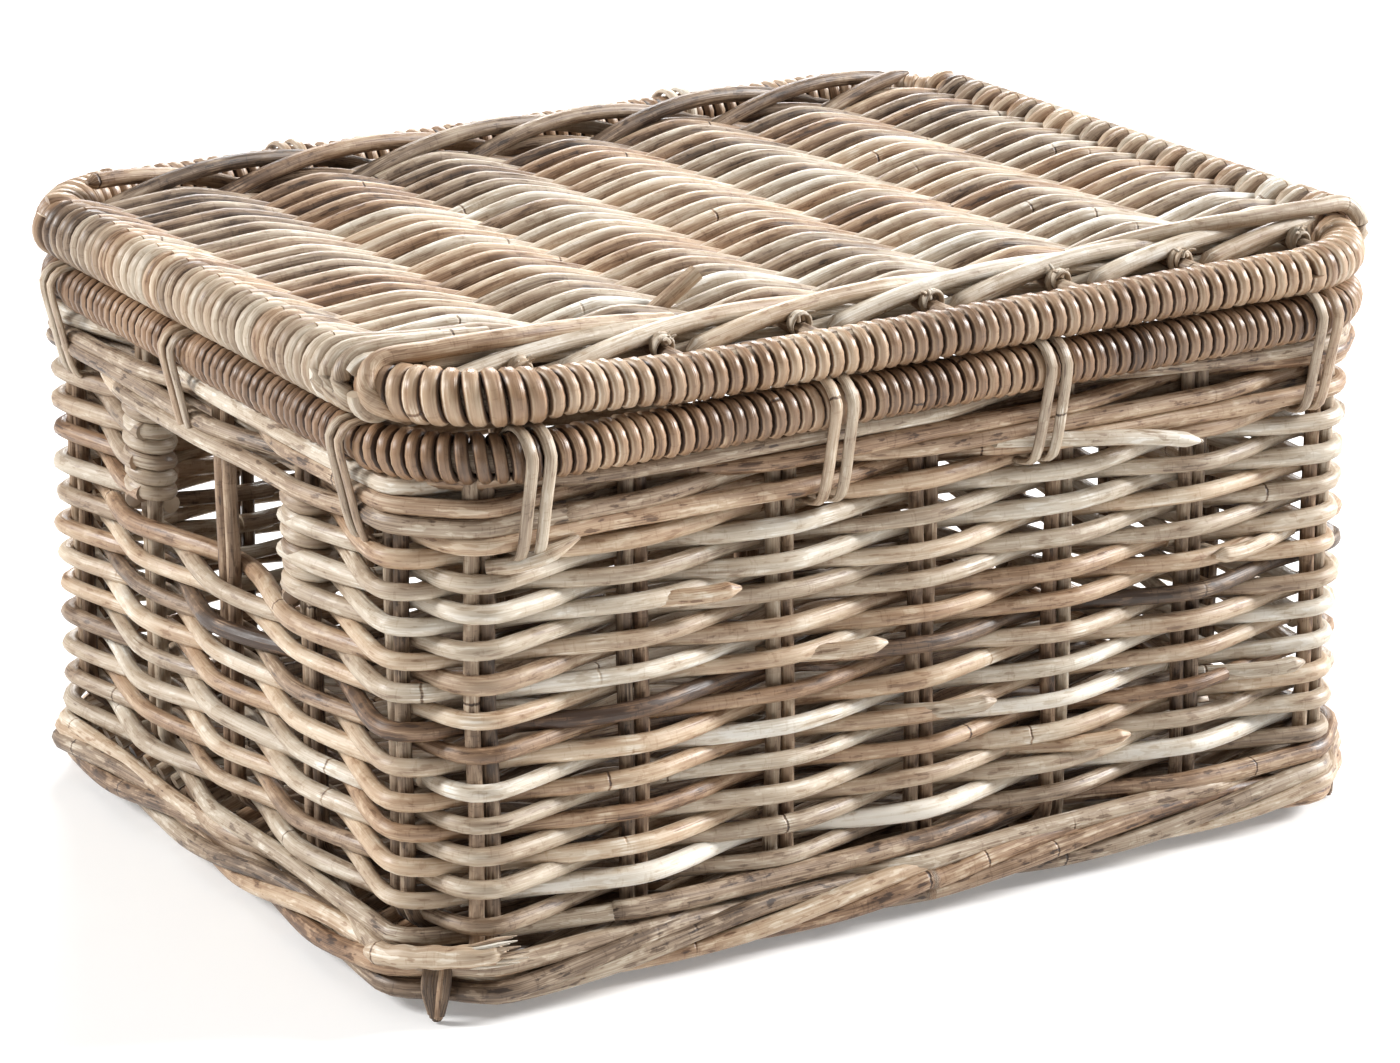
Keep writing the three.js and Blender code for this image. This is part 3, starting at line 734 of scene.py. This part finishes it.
# ---- rims: poles wound with cane ----
def around(s, angle, distance, z):
    """A point at an angle round the rim pole (0 faces out, a quarter turn faces up)."""
    point, way = RIM.at(s)
    flat = point + way * (distance * np.cos(angle))[:, None]
    lean = np.column_stack([way * np.cos(angle)[:, None], np.sin(angle)])
    return np.column_stack([flat, z + distance * np.sin(angle)]), lean


FRONT_SAG = 4.6 * MM  # how much lower the front of the lid hangs, all but its left end


def winding(canes, start, end, pitch, z, centre, thick, wide, tints, per=14, dip=()):
    """A cane wound round the rim pole from distance start to end. It lies at the distance centre
    from the middle of the pole, and deeper where it runs under the lashings placed in dip."""
    turns = (end - start) / pitch
    t = np.linspace(0, turns, int(turns * per))
    s = start + t * pitch + 0.7 * MM * np.sin(t * 0.9)
    angle = -t * TAU
    distance = centre + 0.25 * MM * np.sin(t * 1.7)
    for place in dip:
        near = np.abs((s - place + RIM.length / 2) % RIM.length - RIM.length / 2)
        distance = distance - 2.4 * MM * np.clip((11 * MM - near) / (3 * MM), 0, 1)
    path, lean = around(s, angle, distance, z)
    if z == LID_Z:
        in_front = path[:, 1] < -0.1
        path[:, 2] -= FRONT_SAG * np.clip((path[:, 0] + 0.215) / 0.06, 0, 1) * in_front
    slow = 0.6 * np.sin(t * 0.37) + 0.4 * np.sin(t * 0.113 + 1)
    turn_by_turn = 0.5 * np.sin(np.floor(t) * 12.9898)
    tint = tints[0] + tints[1] * (slow + turn_by_turn)
    canes.lay(path, thick, np.clip(tint, 0, 1), lean, wide=wide)


LASH_SIDE = [middle(f"lashing_left_{i + 1}").y for i in range(3)]
LASH_FRONT = [middle(f"lashing_front_{i + 1}").x for i in range(4)]
LASH_BACK = [middle(f"lashing_back_{i + 1}").x for i in range(2)]
LID_WOUND = 0.242  # the lid's pole is wound this far to each side of its middle


def rims():
    """The two bent poles, the cane wound all round the rim, and the canes wound round the lid's
    pole in front, at the back and more loosely at its corners."""
    for name, z, body, radius in (
        ("rim_pole", RIM_Z, "basket", 7.4),
        ("lid_pole", LID_Z, "lid", 7.2),
    ):
        canes = Canes()
        s = np.arange(0, RIM.length, 8 * MM)
        path, _ = around(s, 0 * s, 0 * s, z)
        canes.lay(path, radius * MM, 0.35, sides=12, closed=True)
        canes.make("canes_" + name, POLE_CANE, body, "pole", [name])
    dips = [RIM.nearest(x, y) for x in (-RIM_X, RIM_X) for y in LASH_SIDE]
    canes = Canes()
    seam = RIM.length / 2
    last = seam + RIM.length + 4 * MM
    tints = (0.35, 0.13)
    winding(canes, seam, last, 7.7 * MM, RIM_Z, 9.8 * MM, 3.4 * MM, 3.8 * MM, tints, dip=dips)
    canes.make("canes_rim_wraps", WRAP_CANE, "basket", "wrapping_cane", ["rim_wrap_front", "rim_wrap_back"])
    for side, sy in (("front", -1), ("back", 1)):
        canes = Canes()
        ends = sorted(RIM.nearest(x, sy * RIM_Y) for x in (-LID_WOUND, LID_WOUND))
        if side == "front":
            ends = [ends[1] - RIM.length, ends[0]]
        tints = (0.52, 0.12)
        winding(canes, ends[0], ends[1], 8.6 * MM, LID_Z, 9.2 * MM, 4.0 * MM, 4.25 * MM, tints)
        for sx in (-1, 1):
            corner = RIM.nearest(sx * (RIM_X - 17.6 * MM), sy * (RIM_Y - 17.6 * MM))
            low, high = corner - 47 * MM, corner + 47 * MM
            reach = (10.6 if sx < 0 else 9.4) * MM
            tints = (0.5, 0.1)
            winding(canes, low, high, 9.0 * MM, LID_Z, reach, 4.2 * MM, 5.1 * MM, tints, per=20)
        canes.make(f"canes_lid_wraps_{side}", WRAP_CANE, "lid", "wrapping_cane", [f"lid_wrap_{side}"])


# ---- lashings and hinge rings ----
def lash_loop(flush):
    """The loop of a lashing seen along the wall: (outwards from the wall's middle, height). A
    flush one sinks into the rim's winding where the lid lies on it."""
    rim_out = RIM_Y - WALL_Y
    if flush:
        turns = ((15.6, 0), (15.6, 0.45), (14.2, 0.85), (11.9, 1.3), (11.6, 1.85), (12.6, 2.5), (14.6, 3.1))
    else:
        turns = [(15.4, angle) for angle in np.linspace(0, math.pi, 9)]
    top = [(rim_out + r * math.cos(a) * MM, RIM_Z + r * math.sin(a) * MM) for r, a in turns]
    low = WEAVE_HIGH - 2 * MM
    outer = [(out * MM, low + up * MM) for out, up in ((9, -2.5), (16.5, 0.5), (20.5, 9), (25, 28))]
    inner = [(out * MM, low + up * MM) for out, up in ((-13, 26), (-15, 8), (-6, -2.5))]
    return rounded(outer + top + inner, closed=True, per=7)


def lashing(name, centre, way, flush):
    """Two canes side by side round the rim and in under the band. way is out from the wall."""
    canes = Canes()
    loop = spaced(lash_loop(flush), 5 * MM)[:-1]
    along = np.array([-way[1], way[0], 0])
    way = np.array([*way, 0.0])
    tint = rng.uniform(0.48, 0.68)
    for side in (-1, 1):
        d = np.arange(len(loop)) / len(loop) * TAU
        sway = side * 5.3 * MM + 0.8 * MM * np.sin(d + rng.uniform(0, 6)) * (1 if side > 0 else 0.4)
        path = centre + way * loop[:, :1] + along * sway[:, None]
        path[:, 2] += loop[:, 1]
        own = tint + rng.uniform(-0.08, 0.08)
        canes.lay(path, 3.5 * MM, own, along, wide=1.7 * MM, closed=True, sides=SIDES)
    canes.make("canes_" + name, LASH_CANE, "basket", "lashing_cane", [name])


def lashings():
    for i, x in enumerate(LASH_FRONT):
        lashing(f"lashing_front_{i + 1}", np.array([x, -WALL_Y, 0]), (0, -1), False)
    for i, x in enumerate(LASH_BACK):
        lashing(f"lashing_back_{i + 1}", np.array([x, WALL_Y, 0]), (0, 1), False)
    side_extra = RIM_X - WALL_X - (RIM_Y - WALL_Y)
    for i, y in enumerate(LASH_SIDE):
        for side, sx in (("left", -1), ("right", 1)):
            centre = np.array([sx * (WALL_X + side_extra), y, 0])
            lashing(f"lashing_{side}_{i + 1}", centre, (sx, 0), True)


def hinge_rings():
    """Two rings of two canes each, over the lid's back pole and under the rim's."""
    for side, sx in (("left", -1), ("right", 1)):
        canes = Canes()
        name = f"hinge_ring_{side}"
        x = middle(name).x
        half_turn = np.linspace(0, math.pi, 14)
        arc = [(RING_REACH * math.cos(a), RING_REACH * math.sin(a)) for a in half_turn]
        upper = [(HINGE.y + across, LID_Z + up) for across, up in arc]
        lower = [(HINGE.y - across, RIM_Z - up) for across, up in arc]
        loop = spaced(np.array(upper + lower + upper[:1]), 4 * MM)[:-1]
        tint = rng.uniform(0.5, 0.7)
        for k in (-1, 1):
            path = np.column_stack([np.full(len(loop), x + k * 4.6 * MM), loop])
            path[:, 0] += 0.6 * MM * np.sin(np.arange(len(loop)) / len(loop) * TAU + k)
            canes.lay(path, 3.4 * MM, tint + 0.05 * k, (1, 0, 0), wide=1.6 * MM, closed=True)
        canes.make("canes_" + name, LASH_CANE, "basket", "lashing_cane", [name])


# ---- the lid ----
LID_ROWS = 40
LID_PITCH = 2 * (PANEL_HALF - 3.6 * MM) / (LID_ROWS - 1)
LID_R = 4.45 * MM
LID_SWING = SWING * 1.04
EDGE_R = 13.2 * MM  # from the middle of a side pole to the middle of a strand turned round it
CROSSINGS = np.array([-RIM_X, *RIBS, RIM_X])


def lid_row_y(row):
    return (row - (LID_ROWS - 1) / 2) * LID_PITCH


def lid_row(row):
    """The run of one row from the left pole to the right one."""
    end = RIM_X - (0 if row % 2 == 0 else 10 * MM)
    x = np.linspace(-end, end, 121)
    signs = np.array([1 if (k + row) % 2 == 0 else -1 for k in range(len(CROSSINGS))], float)
    signs[[0, -1]] = EDGE_R / LID_SWING if row % 2 == 0 else 0.45
    z = LID_Z + swing(x, CROSSINGS, signs, hold=3 * MM) * LID_SWING
    seed = row * 2.3
    steady = np.clip((RIM_X - np.abs(x)) / 0.05, 0, 1)
    y = lid_row_y(row) + 0.9 * MM * wave(x, (0.35, 0.14), seed) * steady
    return np.column_stack([x, y, z])


def edge_turns(row, sx):
    """One and a half turns round a side pole, from the end of a row to the start of the next."""
    over = row % 2 == 0
    t = np.linspace(0, 1.5, 34)
    angle = (1 if over else -1) * (TAU / 4 - t * TAU)
    shift = np.clip(t - 0.25, 0, 1)
    x = sx * (RIM_X + EDGE_R * np.cos(angle))
    z = LID_Z + EDGE_R * np.sin(angle)
    y = lid_row_y(row) + LID_PITCH * shift
    lean = np.column_stack([sx * np.cos(angle), 0 * t, np.sin(angle)])
    return np.column_stack([x, y, z]), lean


def lid_bleach(x, y):
    """The lid is greyest in its middle and to the front, and brown towards its back left corner."""
    middle_spot = 0.12 * np.exp(-((x + 0.02) ** 2 / 0.03 + (y - 0.02) ** 2 / 0.008))
    front = 0.1 * np.clip(-y / 0.18, 0, 1)
    corner = 0.1 * np.exp(-((x + 0.3) ** 2 / 0.05 + (y - 0.16) ** 2 / 0.02))
    return middle_spot + front - corner


def lid_panel():
    """The woven rows, a few at a time from one cane and of one tint. Every other row runs on at both
    ends into the turns round the side poles."""
    edges = {-1: Canes(), 1: Canes()}
    canes = Canes()
    row = 0
    while row < LID_ROWS:
        count = int(rng.integers(2, 5))
        place = row / LID_ROWS
        tint = max(strand_tint(0.54 - 0.12 * place, 0.09), 0.38)
        for r in range(row, min(row + count, LID_ROWS)):
            path = lid_row(r)
            seed = rng.uniform(0, 30)
            radius = LID_R * (1 + 0.045 * wave(path[:, 0], (0.2, 0.08), seed))
            own = tint + rng.normal(0, 0.05) + lid_bleach(path[:, 0], path[:, 1])
            tints = shaded(path[:, 0], own, seed, 0.1)
            canes.lay(path, radius, tints, sides=SIDES)
            if r % 2:
                continue
            for sx, turned, end in ((-1, r - 1, 0), (1, r, -1)):
                if turned < 0:
                    continue
                turns, lean = edge_turns(turned, sx)
                from_row = (1, 0) if sx < 0 else (0, 1)
                away = np.linspace(*from_row, len(turns))
                wide = LID_R + 0.5 * MM * np.clip(away * 6, 0, 1)
                edges[sx].lay(turns, LID_R, tints[end], lean, wide=wide, sides=SIDES)
        row += count
    for sx in (-1, 1):
        for end in (-1, 1):
            edge_y = end * (lid_row_y(LID_ROWS - 1) + 0.4 * LID_PITCH)
            t = np.linspace(0, 0.9, 24)
            angle = -end * t * TAU + 0.6
            path = np.column_stack(
                [
                    sx * (RIM_X + EDGE_R * np.cos(angle)),
                    edge_y + end * t * LID_PITCH,
                    LID_Z + EDGE_R * np.sin(angle),
                ]
            )
            lean = np.column_stack([sx * np.cos(angle), 0 * t, np.sin(angle)])
            edges[sx].lay(path, LID_R, strand_tint(0.5, 0.1), lean, sides=SIDES)
    canes.make("canes_lid_panel", LID_CANE, "lid", "lid_cane", ["lid_weave"])
    for sx, side in ((-1, "left"), (1, "right")):
        edges[sx].make(f"canes_lid_edge_{side}", LID_CANE, "lid", "lid_cane", [f"lid_edge_{side}"])


RIB_REACH = RIM_Y - 10 * MM  # the ribs end against the poles


def lid_ribs():
    for i, x in enumerate(RIBS):
        canes = Canes()
        y = np.linspace(-RIB_REACH, RIB_REACH, 60)
        path = np.column_stack([x + 0.6 * MM * wave(y, (0.3, 0.12), i), y, 0 * y + LID_Z])
        canes.lay(path, 4.2 * MM, shaded(y, 0.35, i))
        canes.make(f"canes_lid_stake_{i + 1}", STAKE_CANE, "lid", "stake_cane", [f"lid_stake_{i + 1}"])


FILLERS = ((202, 268), (211, 262), (220, 252))  # mm from the lid's middle, and half length


def lid_ropes():
    """Along the front and the back of the lid: a twisted pair of strands, three plain ones that fill
    the gap below the ribs, darker than the rest as painted shade for that gap, and over them a border
    of slanting ones, each laid over two ribs and tucked in."""
    step = RIBS[1] - RIBS[0]
    for side, sy, level, crest in (("front", -1, 0.66, 10.5), ("back", 1, 0.26, 19.0)):
        canes = Canes()
        for k in range(2):
            x = np.arange(-RIM_X + 26 * MM, RIM_X - 26 * MM, 5 * MM)
            seed = rng.uniform(0, 30)
            turn = math.pi * ((x - RIBS[0]) / step + k + 0.5) + 0.25 * wave(x, (0.5, 0.2), seed)
            y = sy * (ROPE_Y + 5.0 * MM * np.cos(turn))
            z = LID_Z + 6.0 * MM * np.sin(turn)
            tint = shaded(x, strand_tint(level, 0.06), seed, 0.12)
            canes.lay(np.column_stack([x, y, z]), 4.7 * MM, tint, sides=SIDES)
        for k, (place, reach) in enumerate(FILLERS):
            x = np.arange(-reach * MM, reach * MM, STEP)
            y = sy * (place * MM + 1.2 * MM * wave(x, (0.3, 0.13), k + sy))
            z = LID_Z - 8.3 * MM + 0.8 * MM * wave(x, (0.21, 0.09), k + sy)
            # The fillers are 0.22 darker than the rope: painted shade for the gap below the ribs.
            canes.lay(np.column_stack([x, y, z]), 4.2 * MM, shaded(x, level - 0.22, k))
        for k in range(-1, len(RIBS) + 1):
            start = RIBS[0] + step * k - 62 * MM + rng.uniform(-6, 6) * MM
            t = np.linspace(0, 1, 44)
            x = start + rng.uniform(195, 220) * MM * t
            keep = np.abs(x) < RIM_X - 20 * MM
            t, x = t[keep], x[keep]
            if len(t) < 14:
                continue
            slant = (12 - 26 * t) if sy < 0 else (-10 + 32 * t)
            y = sy * (ROPE_Y + slant * MM)
            z = LID_Z + (-2 + crest * np.sin(math.pi * np.clip(t * 1.08, 0, 1)) ** 0.8 + 3 * t) * MM
            tint = shaded(x, strand_tint(level + 0.05, 0.08), rng.uniform(0, 30), 0.14)
            thick = rng.uniform(4.4, 5.0) * MM
            canes.lay(np.column_stack([x, y, z]), thick, tint, sides=SIDES, tips=(0.004, 0.012))
        canes.make(f"canes_lid_rope_{side}", ROPE_CANE, "lid", "rope_cane", [f"lid_rope_{side}"])


def on_front(x, z, out):
    """A point at x and z, out mm from the stakes of the front wall."""
    place = np.array([WALL.nearest(x, -WALL_Y)])
    return wall_points(place, np.array([out * MM]), z * MM, 4 * MM)[0]


def cut_tips():
    """In the band and the front wall, cut ends of strands that stand out a little."""
    band = Canes()
    falling = ((0.04, 256, 7), (0.09, 250.5, 14), (0.13, 246, 18.5), (0.166, 239, 21.5))
    rising = ((-0.262, 238, 5), (-0.249, 240.5, 14), (-0.234, 244.5, 18), (-0.218, 250.5, 18))
    for places, radius, tint, wide, cut in ((falling, 4.2, 0.7, 5.0, 10), (rising, 4.3, 0.66, 4.9, 16)):
        path = rounded([on_front(*place) for place in places])
        band.lay(path, radius * MM, tint, wide=wide * MM, sides=SIDES, tips=(0, cut * MM))
    run = ((-0.05, 0, -4), (-0.022, 0, 8), (0, 0, 14), (0.018, 1, 16))
    ends = ((-0.14, 205, 1), (0.02, 113, 1), (0.2, 168, -1), (0.11, 76, 1), (-0.05, 159, 1), (0.23, 95, 1))
    for x, z, way in ends:
        path = rounded([on_front(x + way * along, z + up, out) for along, up, out in run])
        band.lay(path, 4.5 * MM, 0.6, sides=SIDES, tips=(0, 7 * MM))
    band.make("canes_cut_tips", BORDER_CANE, "basket", "border_cane")


def split_end():
    """The cane end that sticks out at the border's near corner, frayed into fibres."""
    corner = Canes()
    s = STAKE_PLACES[stake_index(LONG_STAKES[0], -WALL_Y)] - np.array([-3, 9, 21, 34, 47, 61]) * MM
    out = np.array([20, 21.5, 21, 19.5, 17.5, 12]) * MM
    z = np.array([39, 37.5, 35.5, 33, 29.5, 25]) * MM
    path = rounded(wall_points(s, out, z), per=9)
    swell = 1 + 0.08 * np.sin(np.arange(len(path)) * 0.8)
    corner.lay(path, 6.0 * MM * swell, 0.55, wide=6.3 * MM, sides=12, tips=(0.006, 0.02))
    onward = (path[0] - path[3]) / np.linalg.norm(path[0] - path[3])
    fibres = 13
    for k in range(fibres):
        turn = k / fibres * TAU
        part = path[: 12 + int(rng.integers(0, 9))].copy()
        part[0] += onward * rng.uniform(1, 8) * MM
        lift = np.linspace(1.25, 0.92, len(part))[:, None]
        shift = np.array([0.35 * math.cos(turn), -0.7 * math.cos(turn), math.sin(turn)]) * 5.8 * MM
        tint = rng.uniform(0.4, 0.85)
        corner.lay(part + shift * lift, 1.1 * MM, tint, wide=1.5 * MM, sides=6, tips=(0.01, 0.02))
    corner.make("canes_split_end", BORDER_CANE, "basket", "border_cane")


def lid_loose_ends():
    """A stub that stands up from the lid, and the strands that come over its pole at the two front
    corners and run on over the lid."""
    lid = Canes()
    stub = np.array([(-122, -149, 326), (-108, -150.5, 336), (-93, -152, 347)]) * MM
    lid.lay(rounded(stub), 4.5 * MM, 0.45, (0, 1, 0), sides=SIDES)
    left, right = RIM.nearest(-0.236, -RIM_Y), RIM.nearest(0.236, -RIM_Y)
    left_run = ((-272, -197, 343), (-232, -197, 343), (-176, -189, 339), (-128, -184, 333))
    right_run = ((276, -200, 343), (228, -200, 343), (172, -190, 339), (120, -184, 332))
    for start, shifts, first, run, radius, tint in (
        (left, (-72, -78, -82), -115, left_run, 5.0, 0.56),
        (left, (-90, -94, -96), -115, ((-270, -187, 344), (-238, -190, 343)), 5.2, 0.46),
        (left, (-101, -104, -106), -115, ((-272, -178, 342), (-244, -179, 341)), 5.2, 0.52),
        (left, (-112, -114, -116), -115, ((-272, -169, 341), (-246, -170, 340)), 5.0, 0.44),
        (right, (78, 80, 80), -100, right_run, 4.6, 0.52),
    ):
        angles = np.radians((first, -5, 65))
        turned, _ = around(start + np.array(shifts) * MM, angles, np.full(3, 15.8 * MM), LID_Z)
        path = np.vstack([turned, np.array(run) * MM])
        lid.lay(spaced(rounded(path), 4 * MM), radius * MM, tint, sides=SIDES)
    lid.make("canes_lid_loose_ends", ROPE_CANE, "lid", "rope_cane")


def rib_ends():
    """Where each rib ends at the front: a peel curled round its end, and a few loose fibres."""
    canes = Canes()
    for i, x in enumerate(RIBS):
        y = -RIB_HALF + 8 * MM
        turn = np.linspace(0, 1.6 * TAU, 26)
        swell = (5.6 + 0.9 * np.sin(turn * 0.7 + i)) * MM
        z = LID_Z + 2.5 * MM + swell * np.sin(turn)
        path = np.column_stack([x + swell * np.cos(turn), y - turn / TAU * 3.4 * MM, z])
        lean = np.column_stack([np.cos(turn), 0 * turn, np.sin(turn)])
        canes.lay(path, 1.4 * MM, 0.66, lean, wide=2.6 * MM, tips=(0.008, 0.008))
        for k in range(5):
            angle = rng.uniform(0.1, 0.9) * math.pi
            root = np.array([x + rng.uniform(-3, 3) * MM, y - rng.uniform(0, 7) * MM, LID_Z + 5 * MM])
            way = np.array([math.cos(angle), rng.uniform(-0.7, 0.2), 0.3 + 0.5 * math.sin(angle)])
            tip = root + way * rng.uniform(4, 8) * MM
            knee = (root + tip) / 2 + np.array([0, 0, 1.2 * MM])
            fibre = rounded([root, knee, tip], per=5)
            canes.lay(fibre, 0.8 * MM, 0.7, (0, 1, 0), wide=1.5 * MM, sides=6, tips=(0, 0.006))
    canes.make("canes_rib_ends", ROPE_CANE, "lid", "rope_cane")


# ---- the room, the lights and the camera ----
def room():
    mesh = bpy.data.meshes.new("floor")
    reach = 14.0
    corners = [(x * reach, y * reach, 0) for x, y in ((-1, -1), (1, -1), (1, 1), (-1, 1))]
    mesh.from_pydata(corners, [], [(0, 1, 2, 3)])
    paint = bpy.data.materials.new("floor_paint")
    paint.use_nodes = True
    shader = paint.node_tree.nodes["Principled BSDF"]
    shader.inputs["Base Color"].default_value = (0.8, 0.797, 0.79, 1)
    shader.inputs["Roughness"].default_value = 0.75
    shader.inputs["Emission Color"].default_value = (1, 1, 1, 1)
    shader.inputs["Emission Strength"].default_value = 0.22
    mesh.materials.append(paint)
    floor = bpy.data.objects.new("floor", mesh)
    bpy.context.scene.collection.objects.link(floor)
    world = bpy.data.worlds.new("studio")
    world.use_nodes = True
    sky = world.node_tree.nodes["Background"]
    sky.inputs["Color"].default_value = (1.0, 1.0, 1.0, 1)
    sky.inputs["Strength"].default_value = 0.23
    bpy.context.scene.world = world
    for name, place, softness, strength in (
        ("light_right", (2.4, -0.55, 1.15), 18, 6.0),
        ("light_left_back", (-1.6, 1.1, 1.2), 18, 3.6),
        ("light_back", (1.1, 1.7, 1.0), 20, 1.9),
        ("light_top", (0.1, -0.3, 3.0), 45, 0.4),
    ):
        lamp = bpy.data.lights.new(name, "SUN")
        lamp.angle = math.radians(softness)
        lamp.energy = strength
        thing = bpy.data.objects.new(name, lamp)
        thing.location = place
        thing.rotation_euler = (-Vector(place)).to_track_quat("-Z", "Y").to_euler()
        bpy.context.scene.collection.objects.link(thing)


def camera():
    view = bpy.data.cameras.new("camera")
    view.lens = 116.37
    view.sensor_width = 36
    thing = bpy.data.objects.new("camera", view)
    yaw, pitch = math.radians(31.691), math.radians(-18.208)
    look = Vector((math.sin(yaw) * math.cos(pitch), math.cos(yaw) * math.cos(pitch), math.sin(pitch)))
    thing.location = (-1.28167, -2.08063, 0.95087)
    thing.rotation_euler = look.to_track_quat("-Z", "Y").to_euler()
    bpy.context.scene.collection.objects.link(thing)
    bpy.context.scene.camera = thing


stakes()
wall_weave()
jambs()
top_band()
border()
corner_feet()
base()
rims()
lashings()
hinge_rings()
lid_panel()
lid_ribs()
lid_ropes()
rib_ends()
cut_tips()
split_end()
lid_loose_ends()
room()
camera()
bpy.context.scene.view_settings.view_transform = "Standard"
